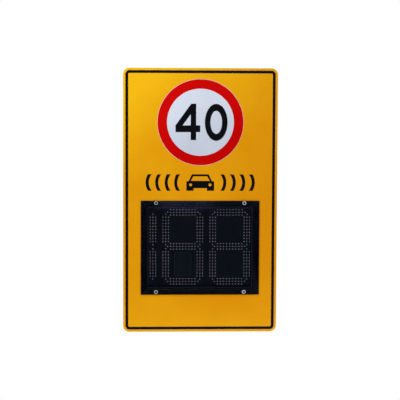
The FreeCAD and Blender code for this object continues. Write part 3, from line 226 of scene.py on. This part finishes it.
# Reflective sheeting
NO_GLOSS = {"Specular_IOR_Level": 0.0}
FILM_GLOSS = 0.03
RED_GLOSS = 0.008
HONEYCOMB_PITCH = 5.2 * MM
HONEYCOMB_SHARE = 0.12
HONEYCOMB_DEPTH = 0.01 * MM
DRIFT_GRAIN = 350 * MM
DRIFT_SHARE = 0.5
DRIFT_TOP = 0.65
SHEETING_GRAIN = 20 * MM
SHEETING_ROUGHNESS = (0.3, 0.42)
FACE_CORNER = 25 * MM
STRIPE_INSET = 14.5 * MM
STRIPE_HALF = 5 * MM
HALO_WIDTH = 0.9 * MM


def beside_stripe(surface):
    """One at the border stripe, falling to nought across the dark halo beside it."""
    inset = surface.inwards("yellow_sheeting", FACE_CORNER)
    off_middle = surface.math("ABSOLUTE", surface.math("SUBTRACT", inset, STRIPE_INSET))
    return surface.spread(off_middle, STRIPE_HALF, STRIPE_HALF + HALO_WIDTH, 1.0, 0.0)


def sheeting(name, dark, light, low, rise, slide, bow=0.0, lean=0.0, gloss=FILM_GLOSS, painted_shade_and_halo=None):
    """Sheeting with a faint honeycomb over a tone, from dark at its low to light, that drifts at random
    and carries painted light.

    Painted light makes it lighter upwards by rise, to the left by slide, to both ends by bow, and
    towards two of the corners by lean.
    """
    surface = Surface(name, Specular_IOR_Level=gloss)
    place = surface.axes(surface.place)
    x = place["X"]
    z = place["Z"]
    bowed = surface.math("MULTIPLY", z, z)
    leaning = surface.math("MULTIPLY", x, z)
    drift_and_painted_light = surface.math("MULTIPLY", surface.noise(DRIFT_GRAIN), DRIFT_SHARE)
    # Painted light: lighter upwards, to the left, towards both ends and towards two corners
    for share, amount in ((bow, bowed), (-lean, leaning), (rise, z), (-slide, x)):
        drift_and_painted_light = surface.math("MULTIPLY_ADD", amount, share, drift_and_painted_light)
    cells = surface.honeycomb(HONEYCOMB_PITCH)
    drift_and_painted_light = surface.math("MULTIPLY_ADD", cells, HONEYCOMB_SHARE, drift_and_painted_light)
    tone = surface.mixed(surface.spread(drift_and_painted_light, low, DRIFT_TOP), dark, light)
    # A dark halo along both edges of the border stripe
    if painted_shade_and_halo:
        tone = surface.mixed(beside_stripe(surface), tone, painted_shade_and_halo)
    surface.colour(tone)
    surface.roughness(surface.noise(SHEETING_GRAIN), *SHEETING_ROUGHNESS)
    surface.bump(cells, HONEYCOMB_DEPTH)


# Zinc with its spangle
SPANGLE = 7 * MM
SPANGLE_RANGE = (0.3, 1.3)
ZINC_CLOUD = 30 * MM
ZINC_CLOUD_SHARE = 0.6
ZINC_ROUGHNESS = (0.56, 0.34)
ZINC_GRAIN = 1.5 * MM
ZINC_DEPTH = 0.02 * MM


def galvanised(name, dark, light):
    """Spangled zinc, smoother where it is lighter."""
    surface = Surface(name, Metallic=1.0)
    clouds = surface.noise(ZINC_CLOUD)
    spangle = surface.math("MULTIPLY_ADD", clouds, ZINC_CLOUD_SHARE, surface.cells(SPANGLE))
    share = surface.spread(spangle, *SPANGLE_RANGE)
    surface.colour(surface.mixed(share, dark, light))
    surface.feed(surface.shader.inputs["Roughness"], surface.spread(share, 0.0, 1.0, *ZINC_ROUGHNESS))
    surface.bump(surface.noise(ZINC_GRAIN), ZINC_DEPTH)


# Circuit boards
TRACK_SCALE = 60
TRACK_WIDTH = 0.012
TRACK_OFFSET = 0.37
TRACK_DEPTH = 0.03 * MM
TO_THE_FRONT = (math.pi / 2, 0, 0)
MASK_CLOUD = 20 * MM
MASK_CLOUD_SHARE = 0.25
MASK_GRAIN = 2 * MM
MASK_ROUGHNESS = (0.35, 0.5)


def circuit_board(name, mask, track):
    """Solder mask over fine tracks."""
    surface = Surface(name, **NO_GLOSS)
    place = surface.mapped(Rotation=TO_THE_FRONT)
    inputs = {"Vector": place, "Scale": TRACK_SCALE, "Mortar Size": TRACK_WIDTH}
    lines = surface.node("ShaderNodeTexBrick", inputs, offset=TRACK_OFFSET).outputs["Fac"]
    cloudy = surface.math("MULTIPLY_ADD", surface.noise(MASK_CLOUD), MASK_CLOUD_SHARE, lines)
    surface.colour(surface.mixed(cloudy, mask, track))
    surface.roughness(surface.noise(MASK_GRAIN), *MASK_ROUGHNESS)
    surface.bump(lines, TRACK_DEPTH)


# Tinted window, whose two faces together let half of the light through
WINDOW_ALPHA = 0.26
WINDOW_ROUGHNESS = (0.06, 0.14)
SMEAR_GRAIN = 120 * MM
SMEAR_STRETCH = (1, 1, 0.4)
REFLECTION_HEIGHT = 45 * MM
REFLECTION_MIDDLE = -52 * MM
REFLECTION_REACH = 130 * MM
REFLECTION_TOP = 2.0
REFLECTION_ASIDE = 0.2


def tinted(name, tint, painted_reflection):
    """Smoked acrylic with a painted reflection in a patch at its head."""
    surface = Surface(name, Alpha=WINDOW_ALPHA, **NO_GLOSS)
    smears = surface.noise(SMEAR_GRAIN, SMEAR_STRETCH)
    place = surface.axes(surface.place)
    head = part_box("display_window")[1][2]
    rising = surface.spread(place["Z"], head - REFLECTION_HEIGHT, head, 0.0, REFLECTION_TOP)
    aside = surface.math("ABSOLUTE", surface.math("SUBTRACT", place["X"], REFLECTION_MIDDLE))
    across = surface.spread(aside, REFLECTION_REACH / 2, REFLECTION_REACH, 1.0, REFLECTION_ASIDE)
    reflection_share = surface.math("MULTIPLY", rising, across)
    # The patch is painted reflection, broken up by the smears
    surface.colour(surface.mixed(surface.math("MULTIPLY", reflection_share, smears), tint, painted_reflection))
    surface.roughness(smears, *WINDOW_ROUGHNESS)


# Finishes
BRUSHED_X = (0.03, 1, 1)
BRUSHED_Z = (1, 1, 0.04)
BLACKS = (linear(27, 31, 40), linear(32, 36, 45))
MATT = {"roughness": (0.55, 0.72), "grain": 0.8 * MM, "depth": 0.02 * MM} | NO_GLOSS
TURNED = {"grain": 0.5 * MM, "depth": 0.004 * MM, "stretch": (1, 0.08, 1), "Metallic": 1.0}
LENS = {"roughness": (0.2, 0.3), "grain": 0.8 * MM, "depth": 0.01 * MM}
grained(
    "bare_aluminium", linear(160, 162, 165), linear(172, 174, 176),
    roughness=(0.38, 0.5), grain=1.2 * MM, depth=0.006 * MM, stretch=BRUSHED_Z, Metallic=1.0,
)
# Each sheeting's two tones span its own colour and painted light, lighter upwards and to the left
sheeting(
    "yellow_sheeting", linear(221, 143, 3), linear(243, 185, 18),
    low=0.26, rise=0.21, slide=0.31, bow=0.98, lean=0.55, painted_shade_and_halo=linear(22, 16, 9),
)
sheeting(
    "white_sheeting", linear(176, 183, 199), linear(218, 225, 240),
    low=0.275, rise=0.97, slide=0.36,
)
sheeting(
    "red_film", linear(178, 0, 0), linear(212, 10, 7),
    low=0.215, rise=0.78, slide=0.48, gloss=RED_GLOSS,
)
grained(
    "black_film", linear(3, 4, 8), linear(9, 11, 17),
    roughness=(0.25, 0.4), grain=4 * MM, depth=0.01 * MM, Specular_IOR_Level=FILM_GLOSS,
)
# The window's second colour is its painted reflection
tinted("tinted_window", linear(0, 0, 0), linear(62, 66, 94))
grained(
    "black_rubber", linear(27, 31, 39), linear(33, 37, 46),
    roughness=(0.65, 0.85), grain=0.6 * MM, depth=0.03 * MM, **NO_GLOSS,
)
grained("stainless_steel", linear(136, 136, 137), linear(168, 168, 167), roughness=(0.2, 0.34), **TURNED)
grained("bright_steel", linear(150, 154, 170), linear(182, 186, 202), roughness=(0.16, 0.28), **TURNED)
grained(
    "black_plastic", linear(28, 29, 32), linear(42, 43, 46),
    roughness=(0.4, 0.58), grain=0.8 * MM, depth=0.02 * MM,
)
grained("matt_black", *BLACKS, **MATT)
# Black with a painted highlight on its front edges, for the display frame
grained("black_edge_highlight", *BLACKS, edge_highlight=linear(60, 72, 92), **MATT)
# Painted shade for the screws' sockets
grained(
    "painted_shade_and_halo", linear(9, 10, 15), linear(16, 17, 23),
    roughness=(0.6, 0.8), grain=0.8 * MM, depth=0.02 * MM, **NO_GLOSS,
)
grained("brass", linear(186, 150, 84), linear(214, 180, 112), roughness=(0.25, 0.4), **TURNED)
grained(
    "black_paint", linear(34, 41, 52), linear(39, 46, 57),
    roughness=(0.42, 0.55), grain=1.2 * MM, depth=0.02 * MM, **NO_GLOSS,
)
circuit_board("black_board", linear(29, 36, 47), linear(35, 42, 54))
circuit_board("green_board", linear(24, 92, 56), linear(60, 130, 84))
grained("clear_led", linear(160, 184, 206), linear(180, 202, 222), **LENS)
grained("red_led", linear(122, 60, 68), linear(138, 72, 80), **LENS)
# Radar plastic with a painted highlight on its front edges
grained("radar_plastic", linear(32, 40, 50), linear(36, 44, 55), edge_highlight=linear(86, 103, 124), **MATT)
grained(
    "grey_paint", linear(146, 150, 153), linear(155, 158, 161),
    roughness=(0.4, 0.55), grain=1.4 * MM, depth=0.03 * MM,
)
grained(
    "rail_aluminium", linear(178, 181, 184), linear(204, 206, 208),
    roughness=(0.3, 0.46), grain=0.8 * MM, depth=0.008 * MM, stretch=BRUSHED_X, Metallic=1.0,
)
galvanised("galvanised_steel", linear(150, 154, 158), linear(196, 200, 204))
grained(
    "black_anodised", linear(34, 34, 36), linear(48, 48, 50),
    roughness=(0.35, 0.5), grain=0.6 * MM, depth=0.006 * MM, Metallic=0.6,
)
grained(
    "battery_case", linear(66, 76, 92), linear(80, 90, 106),
    roughness=(0.4, 0.55), grain=0.9 * MM, depth=0.02 * MM,
)
SLOT_OF = {part["node"]: part["material_slot"] for part in frame["record"]["subparts"]}
FINISH_OF = SLOT_OF | {
    "display_frame": "black_edge_highlight",
    "window_screws": "bright_steel",
    "window_washers": "bright_steel",
}
for name, finish in FINISH_OF.items():
    for holder in nodes[name].material_slots:
        holder.material = MATERIALS[finish]


# Pieces in mesh code
SHARP_BEND = 35


def welded(node):
    """A copy of a node's mesh with its doubled points joined."""
    mesh = bmesh.new()
    mesh.from_mesh(nodes[node].data)
    bmesh.ops.remove_doubles(mesh, verts=mesh.verts, dist=WELD)
    return mesh


def islands(node):
    """Lowest and highest corner of each separate solid of a node."""
    mesh = welded(node)
    boxes = []
    seen = set()
    for start in mesh.verts:
        if start in seen:
            continue
        seen.add(start)
        group = [start]
        for vertex in group:
            for edge in vertex.link_edges:
                other = edge.other_vert(vertex)
                if other not in seen:
                    seen.add(other)
                    group.append(other)
        axes = list(zip(*(vertex.co for vertex in group)))
        boxes.append((Vector(map(min, axes)), Vector(map(max, axes))))
    mesh.free()
    return boxes


def from_islands(node, make, *sizes):
    """A mesh with one shape for each separate solid of a node."""
    mesh = bmesh.new()
    for low, high in islands(node):
        make(mesh, low, high, *sizes)
    return mesh


def on_axis(low, high, level):
    """The middle of a box seen from the front, at a level of depth."""
    return Vector(((low.x + high.x) / 2, level, (low.z + high.z) / 2))


def about(middle, half):
    """Points about a middle, seen from the front, from half of them and their opposites."""
    return [middle + Vector((x, 0, z)) for x, z in half + [(-x, -z) for x, z in half]]


def ring(middle, axis, along, radius, count):
    """Points about an axis at a level along it; the radius may depend on the turn."""
    points = []
    for index in range(count):
        turn = 2 * math.pi * index / count
        reach = radius(turn) if callable(radius) else radius
        across = reach * math.cos(turn)
        upright = reach * math.sin(turn)
        offset = (across, along, upright) if axis == "y" else (across, upright, along)
        points.append(middle + Vector(offset))
    return points


def lathe(middle, axis, levels, count):
    """A stack of rings about an axis, from their levels along it and their radii."""
    return [ring(middle, axis, along, radius, count) for along, radius in levels]


def skin(mesh, rings, cap_first=True, cap_last=True):
    """Faces over a stack of rings of points, all with as many points; returns the last ring."""
    rows = [[mesh.verts.new(place) for place in points] for points in rings]
    for lower, upper in zip(rows, rows[1:]):
        for index in range(len(lower)):
            following = (index + 1) % len(lower)
            mesh.faces.new((lower[index], lower[following], upper[following], upper[index]))
    if cap_first:
        mesh.faces.new(rows[0])
    if cap_last:
        mesh.faces.new(rows[-1])
    return rows[-1]


def hollow_skin(mesh, rings):
    """Faces over a stack of rings that comes round to its first ring again."""
    skin(mesh, rings + rings[:1], cap_first=False, cap_last=False)
    bmesh.ops.remove_doubles(mesh, verts=mesh.verts, dist=WELD)


def piece(name, mesh, node, bend=SHARP_BEND, slot=None, finish=None):
    """Finish a mesh as a piece that stands for a node, in the node's finish or another; its slot is not
    used.
    """
    slot = slot or SLOT_OF[node]
    finish = finish or FINISH_OF[node]
    bmesh.ops.recalc_face_normals(mesh, faces=mesh.faces)
    for face in mesh.faces:
        face.smooth = True
    for edge in mesh.edges:
        edge.smooth = edge.calc_face_angle(0.0) < math.radians(bend)
    data = bpy.data.meshes.new(name)
    mesh.to_mesh(data)
    mesh.free()
    data.materials.append(MATERIALS[finish])
    made = bpy.data.objects.new(name, data)
    scene.collection.objects.link(made)
    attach(made, ROOT)
    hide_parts(node)
    return made


# Lights: a dark chamfered package with a domed lens
PACKAGE = [(0.0, 1.0), (0.42, 1.0), (0.46, 0.92)]
DOME = [(0.4, 0.98), (0.5, 0.98), (0.72, 0.86), (0.9, 0.58)]
LENS_SHARE = {"clear_leds": 1.0, "red_leds": 0.7}
LENS_BEND = 50
SQUARE_CORNER = 0.8
ROUND_CORNER = math.tan(math.pi / 8)


def eight_points(middle, half, corner):
    """A square's eight points, its corners cut."""
    side = half * corner
    return about(middle, [(half, -side), (half, side), (side, half), (-side, half)])


def light_rings(low, high, profile, corner, share=1.0):
    """Rings from a light's rear to its front, from shares of its depth and of its half width."""
    half = share * (high.x - low.x) / 2
    depth = high.y - low.y
    levels = [(on_axis(low, high, high.y - rise * depth), half * wide) for rise, wide in profile]
    return [eight_points(middle, reach, corner) for middle, reach in levels]


def light_package(mesh, low, high):
    """The square body of one light."""
    skin(mesh, light_rings(low, high, PACKAGE, SQUARE_CORNER))


def light_lens(mesh, low, high, share):
    """The dome of one light, towards the front."""
    last = skin(mesh, light_rings(low, high, DOME, ROUND_CORNER, share), cap_last=False)
    top = mesh.verts.new(on_axis(low, high, low.y))
    for vertex, following in zip(last, last[1:] + last[:1]):
        mesh.faces.new((vertex, following, top))


for node, share in LENS_SHARE.items():
    packages = from_islands(node, light_package)
    piece(f"{node}_packages", packages, node, slot="black_plastic", finish="matt_black")
    piece(f"{node}_domed", from_islands(node, light_lens, share), node, bend=LENS_BEND)


# Clamp bolts with a bevelled hammer head and a cut thread
BOLT_RADIUS = 4.0 * MM
BOLT_ROOT = 3.4 * MM
BOLT_TIP = 3.1 * MM
BOLT_PITCH = 1.25 * MM
BOLT_HEAD = 6.0 * MM
BOLT_EDGE = 0.8 * MM
BOLT_PLAIN = 16.0 * MM
BOLT_POINTS = 20
THREAD_STEPS = 5
THREAD_FLANK = 1.6


def thread_radius(along, taper):
    """The radius of a thread at a place along it, as a function of the turn."""
    def radius(turn):
        phase = (along / BOLT_PITCH - turn / (2 * math.pi)) % 1.0
        crest = min(1.0, THREAD_FLANK * (1.0 - abs(2 * phase - 1.0)))
        return min(BOLT_ROOT + (BOLT_RADIUS - BOLT_ROOT) * crest, taper)
    return radius


def bolt_head(mesh, low, high):
    """The head of a bolt, as wide and tall as the bolt's box."""
    edge = BOLT_EDGE
    rings = []
    for along, inset in ((0, edge), (edge, 0), (BOLT_HEAD - edge, 0), (BOLT_HEAD, edge)):
        wide = (high.x - low.x) / 2 - inset
        tall = (high.z - low.z) / 2 - inset
        half = [(wide, edge - tall), (wide, tall - edge), (wide - edge, tall), (edge - wide, tall)]
        rings.append(about(on_axis(low, high, low.y + along), half))
    skin(mesh, rings)


def bolt_shank(mesh, low, high):
    """The shank of a bolt, plain and then threaded."""
    length = high.y - low.y
    plain_end = BOLT_HEAD + BOLT_PLAIN
    step = BOLT_PITCH / THREAD_STEPS
    count = math.floor((length - plain_end) / step)
    threaded = [plain_end + index * step for index in range(1, count)]
    levels = [(BOLT_HEAD, BOLT_RADIUS), (plain_end, BOLT_RADIUS)]
    levels += [(along, thread_radius(along, BOLT_TIP + length - along)) for along in threaded]
    levels.append((length, BOLT_TIP))
    skin(mesh, lathe(on_axis(low, high, low.y), "y", levels, BOLT_POINTS))


def clamp_bolt(mesh, low, high):
    """A whole bolt, its head towards the front."""
    bolt_head(mesh, low, high)
    bolt_shank(mesh, low, high)


piece("clamp_bolts_threaded", from_islands("clamp_bolts", clamp_bolt), "clamp_bolts")


# Nuts with chamfered corners
NUT_BORES = {"clamp_nuts": 4.05 * MM, "stud_nuts": 2.55 * MM}
CHAMFER_STEPS = [0.0, 0.35, 0.7, 1.0]
LEAD_SHARE = 0.12
HEXAGON_POINTS = 48


def hexagon_radius(corner, limit):
    """The radius of a hexagon by the turn, no more than a limit."""
    def radius(turn):
        from_flat = (turn % (math.pi / 3)) - math.pi / 6
        return min(corner * math.cos(math.pi / 6) / math.cos(from_flat), limit)
    return radius


def chamfered_nut(mesh, low, high, bore):
    """A hexagon nut along the depth, its corners turned off at both ends."""
    corner = (high.x - low.x) / 2
    flat = corner * math.cos(math.pi / 6)
    depth = high.y - low.y
    rise = (corner - flat) / math.sqrt(3)
    limits = [(rise * step, flat + (corner - flat) * step) for step in CHAMFER_STEPS]
    limits += [(depth - along, limit) for along, limit in reversed(limits)]
    levels = [(along, hexagon_radius(corner, limit)) for along, limit in limits]
    lead = LEAD_SHARE * bore
    levels += [(depth, bore + lead), (depth - lead, bore), (lead, bore), (0.0, bore + lead)]
    hollow_skin(mesh, lathe(on_axis(low, high, low.y), "y", levels, HEXAGON_POINTS))


for node, bore in NUT_BORES.items():
    piece(f"{node}_chamfered", from_islands(node, chamfered_nut, bore), node)


# Window screws with a deep socket, with painted shade inside it
SCREW_RADIUS = 3.0 * MM
SCREW_TIP = 0.2 * SCREW_RADIUS
HEAD_WIDTH = 1.87 * SCREW_RADIUS
HEAD_RISE = 1.1 * SCREW_RADIUS
HEAD_SPHERE = (HEAD_WIDTH ** 2 + HEAD_RISE ** 2) / (2 * HEAD_RISE)
HEAD_EDGE = 0.2 * MM
HEAD_SLOPE = 0.05 * MM
HEAD_SHARES = (0.93, 0.86, 0.79)
SOCKET_RIM = 1.36 * SCREW_RADIUS
SOCKET_CORNER = 1.28 * SCREW_RADIUS
SOCKET_DEPTH = 0.9 * SCREW_RADIUS
SOCKET_CHAMFER = 0.1 * SCREW_RADIUS
SHADE_SHEET = 0.3 * MM
SHADE_SHEET_GAP = 0.02 * MM


def dome_rise(reach):
    """How far a screw's head rises from its seat at a distance from its axis."""
    return HEAD_RISE - HEAD_SPHERE + math.sqrt(HEAD_SPHERE ** 2 - reach ** 2)


SEAT_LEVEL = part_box("window_washers")[0][1]
RIM_LEVEL = -dome_rise(SOCKET_RIM)
LIP_LEVEL = RIM_LEVEL + SOCKET_CHAMFER
SOCKET_LEVEL = SOCKET_DEPTH - HEAD_RISE


def socket_screw(mesh, low, high):
    """A screw with a domed head towards the front."""
    length = high.y - SEAT_LEVEL
    levels = [
        (length, SCREW_RADIUS - SCREW_TIP), (length - SCREW_TIP, SCREW_RADIUS), (0.0, SCREW_RADIUS),
        (0.0, HEAD_WIDTH - HEAD_EDGE), (-HEAD_EDGE, HEAD_WIDTH - HEAD_SLOPE),
    ]
    reaches = [share * HEAD_WIDTH for share in HEAD_SHARES]
    levels += [(-dome_rise(reach), reach) for reach in reaches + [SOCKET_RIM]]
    hexagon = hexagon_radius(SOCKET_CORNER, SOCKET_CORNER)
    levels += [(LIP_LEVEL, hexagon), (SOCKET_LEVEL, hexagon)]
    skin(mesh, lathe(on_axis(low, high, SEAT_LEVEL), "y", levels, HEXAGON_POINTS))


def socket_shade(mesh, low, high):
    """Painted shade in a screw's socket: a dark sheet over the socket's walls and floor."""
    outer = hexagon_radius(SOCKET_CORNER - SHADE_SHEET_GAP, SOCKET_CORNER)
    inner = hexagon_radius(SOCKET_CORNER - SHADE_SHEET, SOCKET_CORNER)
    levels = [
        (SOCKET_LEVEL, outer), (LIP_LEVEL, outer), (RIM_LEVEL, SOCKET_RIM - SHADE_SHEET_GAP),
        (LIP_LEVEL, inner), (SOCKET_LEVEL - SHADE_SHEET, inner),
    ]
    skin(mesh, lathe(on_axis(low, high, SEAT_LEVEL), "y", levels, HEXAGON_POINTS))


piece("window_screws_socketed", from_islands("window_screws", socket_screw), "window_screws")
# Painted shade in each socket, as a dark sheet
socket_shades = from_islands("window_screws", socket_shade)
piece("window_screws_socket_shade", socket_shades, "window_screws", slot="black_plastic", finish="painted_shade_and_halo")


# Cable gland's fluted cap and the breather's slotted head, as shares of height, half width and groove
CAP_PROFILE = [
    (1.0, 0.96, 0.0), (0.98, 1.0, 0.0), (0.92, 1.0, 0.0), (0.9, 1.0, 0.07), (0.42, 0.98, 0.07),
    (0.38, 0.97, 0.0), (0.3, 0.93, 0.0), (0.16, 0.82, 0.0), (0.06, 0.7, 0.0), (0.0, 0.62, 0.0),
]
CAP_BORE = 6.0 * MM
CAP_BORE_SHARES = (0.04, 1.0)
CAP_FLUTES = 20
CAP_FLUTE_SHARE = 0.6
CAP_POINTS = 120
VENT_PROFILE = [
    (0.0, 0.55, 0.0), (0.03, 0.8, 0.0), (0.12, 0.95, 0.0), (0.3, 1.0, 0.0), (0.34, 1.0, 0.2),
    (0.78, 1.0, 0.2), (0.82, 1.0, 0.0), (1.0, 0.98, 0.0),
]
VENT_HEAD = 9.0 * MM
VENT_STEM = 6.0 * MM
VENT_SLOTS = 12
VENT_SLOT_SHARE = 0.5
VENT_POINTS = 96


def fluted(base, depth, count, share):
    """A radius with grooves round it; the share is how much of each pitch a groove takes."""
    def radius(turn):
        phase = (turn * count / (2 * math.pi)) % 1.0
        inside = max(0.0, 1.0 - abs(2 * phase - 1.0) / share)
        return base - depth * math.sin(math.pi / 2 * min(1.0, 2 * inside))
    return radius


def fluted_levels(profile, height, reach, count, share):
    """Levels and grooved radii, from a profile in shares of a height and a half width."""
    shapes = [(rise, reach * wide, reach * groove) for rise, wide, groove in profile]
    return [(rise * height, fluted(base, depth, count, share)) for rise, base, depth in shapes]


def foot_of(node):
    """The middle of the lower face of a node, and its height and half width."""
    low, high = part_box(node)
    middle = Vector(((low[0] + high[0]) / 2, (low[1] + high[1]) / 2, low[2]))
    return middle, high[2] - low[2], (high[0] - low[0]) / 2


foot, height, reach = foot_of("gland_cap")
levels = fluted_levels(CAP_PROFILE, height, reach, CAP_FLUTES, CAP_FLUTE_SHARE)
levels += [(share * height, CAP_BORE) for share in CAP_BORE_SHARES]
gland = bmesh.new()
hollow_skin(gland, lathe(foot, "z", levels, CAP_POINTS))
piece("gland_cap_fluted", gland, "gland_cap")

foot, height, reach = foot_of("breather_vent")
levels = fluted_levels(VENT_PROFILE, VENT_HEAD, reach, VENT_SLOTS, VENT_SLOT_SHARE)
levels += [(VENT_HEAD, VENT_STEM), (height, VENT_STEM)]
vent = bmesh.new()
skin(vent, lathe(foot, "z", levels, VENT_POINTS))
piece("breather_vent_slotted", vent, "breather_vent")


# Edges broken as they are on cut, folded and moulded pieces
FLAT_BEND = 0.2
EDGE_BEND = 50
EDGE_SEGMENTS = 2
EDGE_WIDTHS = {
    "display_window": 0.5 * MM,
    "window_washers": 0.2 * MM,
    "face_plate": 0.4 * MM,
    "upper_rail": 0.4 * MM,
    "lower_rail": 0.4 * MM,
    "upper_clamp_saddle": 0.6 * MM,
    "lower_clamp_saddle": 0.6 * MM,
    "upper_clamp_strap": 0.6 * MM,
    "lower_clamp_strap": 0.6 * MM,
    "clamp_washers": 0.2 * MM,
    "rear_cover": 0.5 * MM,
    "gland_body": 0.4 * MM,
}


def whole_faces(node):
    """A copy of a node's mesh with each flat face in one piece."""
    mesh = welded(node)
    bmesh.ops.dissolve_limit(
        mesh, angle_limit=math.radians(FLAT_BEND), use_dissolve_boundaries=False,
        verts=mesh.verts, edges=mesh.edges,
    )
    return mesh


for node, width in EDGE_WIDTHS.items():
    made = piece(f"{node}_softened", whole_faces(node), node)
    bevel = made.modifiers.new("edges", "BEVEL")
    bevel.width = width
    bevel.segments = EDGE_SEGMENTS
    bevel.limit_method = "ANGLE"
    bevel.angle_limit = math.radians(EDGE_BEND)
    bevel.harden_normals = True


# Front edges of the radar's cover and of the display frame's opening
NEAR = 0.01 * MM
FRONT_WIDTH = 2.0 * MM
COVER_SEGMENTS = 3
FRAME_SEGMENTS = 1
FRAME_INSET = 30 * MM


def front_rounded(node, inset, segments):
    """A copy of a node whose front edges are rounded where they lie an inset or more inside its box."""
    mesh = whole_faces(node)
    low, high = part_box(node)

    def at_front(vertex):
        x, y, z = vertex.co
        across = low[0] + inset - NEAR <= x <= high[0] - inset + NEAR
        upright = low[2] + inset - NEAR <= z <= high[2] - inset + NEAR
        return y - low[1] < NEAR and across and upright

    edges = [edge for edge in mesh.edges if all(at_front(vertex) for vertex in edge.verts)]
    bmesh.ops.bevel(mesh, geom=edges, offset=FRONT_WIDTH, segments=segments, profile=0.5, affect="EDGES")
    piece(f"{node}_rounded", mesh, node)


front_rounded("radar_cover", 0.0, COVER_SEGMENTS)
front_rounded("display_frame", FRAME_INSET, FRAME_SEGMENTS)

# Stage: a pale floor that fades into the white surroundings
FLOOR_Z = -2.0
FLOOR_REACH = 4.0
FLOOR_POINTS = 96
FLOOR_GRAIN = 0.6
FADE_START = 0.3 * FLOOR_REACH
FADE_END = 0.95 * FLOOR_REACH
FADE_LEAST = 0.35
floor_mesh = bmesh.new()
bmesh.ops.create_circle(floor_mesh, cap_ends=True, segments=FLOOR_POINTS, radius=FLOOR_REACH)
floor_data = bpy.data.meshes.new("floor")
floor_mesh.to_mesh(floor_data)
floor_mesh.free()
floor = bpy.data.objects.new("floor", floor_data)
floor.location = (0, 0, FLOOR_Z)
scene.collection.objects.link(floor)
pale = Surface("floor", Roughness=0.9)
pale.colour(pale.mixed(pale.noise(FLOOR_GRAIN), linear(228, 228, 228), linear(238, 238, 238)))
away = pale.node("ShaderNodeVectorMath", {0: pale.place}, operation="LENGTH").outputs["Value"]
fade = pale.spread(away, FADE_START, FADE_END, FADE_LEAST, 1.0)
share = pale.math("MULTIPLY", fade, pale.seen_directly())
blend = pale.either(share, pale.shader, pale.node("ShaderNodeEmission"))
pale.feed(pale.tree.nodes["Material Output"].inputs["Surface"], blend)
floor_data.materials.append(pale.material)

# Surroundings: white where they are seen, dimmer where they only give light
AMBIENT = 0.45
WHITE = (1, 1, 1, 1)
world = bpy.data.worlds.new("surroundings")
scene.world = world
world.use_nodes = True
world.node_tree.nodes.clear()
sky = Nodes(world.node_tree)
dim = sky.node("ShaderNodeBackground", {"Color": WHITE, "Strength": AMBIENT})
bright = sky.node("ShaderNodeBackground", {"Color": WHITE})
sky.node("ShaderNodeOutputWorld", {"Surface": sky.either(sky.seen_directly(), dim, bright)})

# Lamps: a soft key from the upper left, a fill from the right, a low one in front and one from behind
LAMPS = [
    ("key", (-1.0, -1.6, 1.35), 0.8, 19.0),
    ("fill", (1.6, -4.2, -0.6), 2.2, 28.0),
    ("low", (0.15, -1.0, -1.1), 0.6, 3.3),
    ("rear", (1.6, 3.4, 2.2), 2.0, 70.0),
]
for name, place, width, power in LAMPS:
    lamp = bpy.data.lights.new(name, "AREA")
    lamp.size = width
    lamp.energy = power
    holder = bpy.data.objects.new(name, lamp)
    holder.location = place
    holder.rotation_euler = (-Vector(place)).to_track_quat("-Z", "Y").to_euler()
    scene.collection.objects.link(holder)

# Camera at the photograph's place
LOOK_AT = Vector((0, -0.1754, 0))
DISTANCE = 5.0
AZIMUTH = math.radians(-2.382)
ELEVATION = math.radians(4.559)
ROLL = math.radians(0.234)
SENSOR_WIDTH = 36.0
FOCAL_LENGTH = 115.5
SHIFT_X = -0.0005
SHIFT_Y = 0.00217
forward = Vector((
    -math.sin(AZIMUTH) * math.cos(ELEVATION),
    math.cos(AZIMUTH) * math.cos(ELEVATION),
    -math.sin(ELEVATION),
))
level_right = forward.cross(Vector((0, 0, 1))).normalized()
level_up = level_right.cross(forward)
right = math.cos(ROLL) * level_right + math.sin(ROLL) * level_up
up = math.cos(ROLL) * level_up - math.sin(ROLL) * level_right
lens = bpy.data.cameras.new("camera")
lens.sensor_width = SENSOR_WIDTH
lens.lens = FOCAL_LENGTH
lens.shift_x = SHIFT_X
lens.shift_y = SHIFT_Y
camera = bpy.data.objects.new("camera", lens)
turn = Matrix((right, up, -forward)).transposed().to_4x4()
camera.matrix_world = Matrix.Translation(LOOK_AT - DISTANCE * forward) @ turn
scene.collection.objects.link(camera)
scene.camera = camera
scene.view_settings.view_transform = "Standard"

bpy.context.view_layer.update()
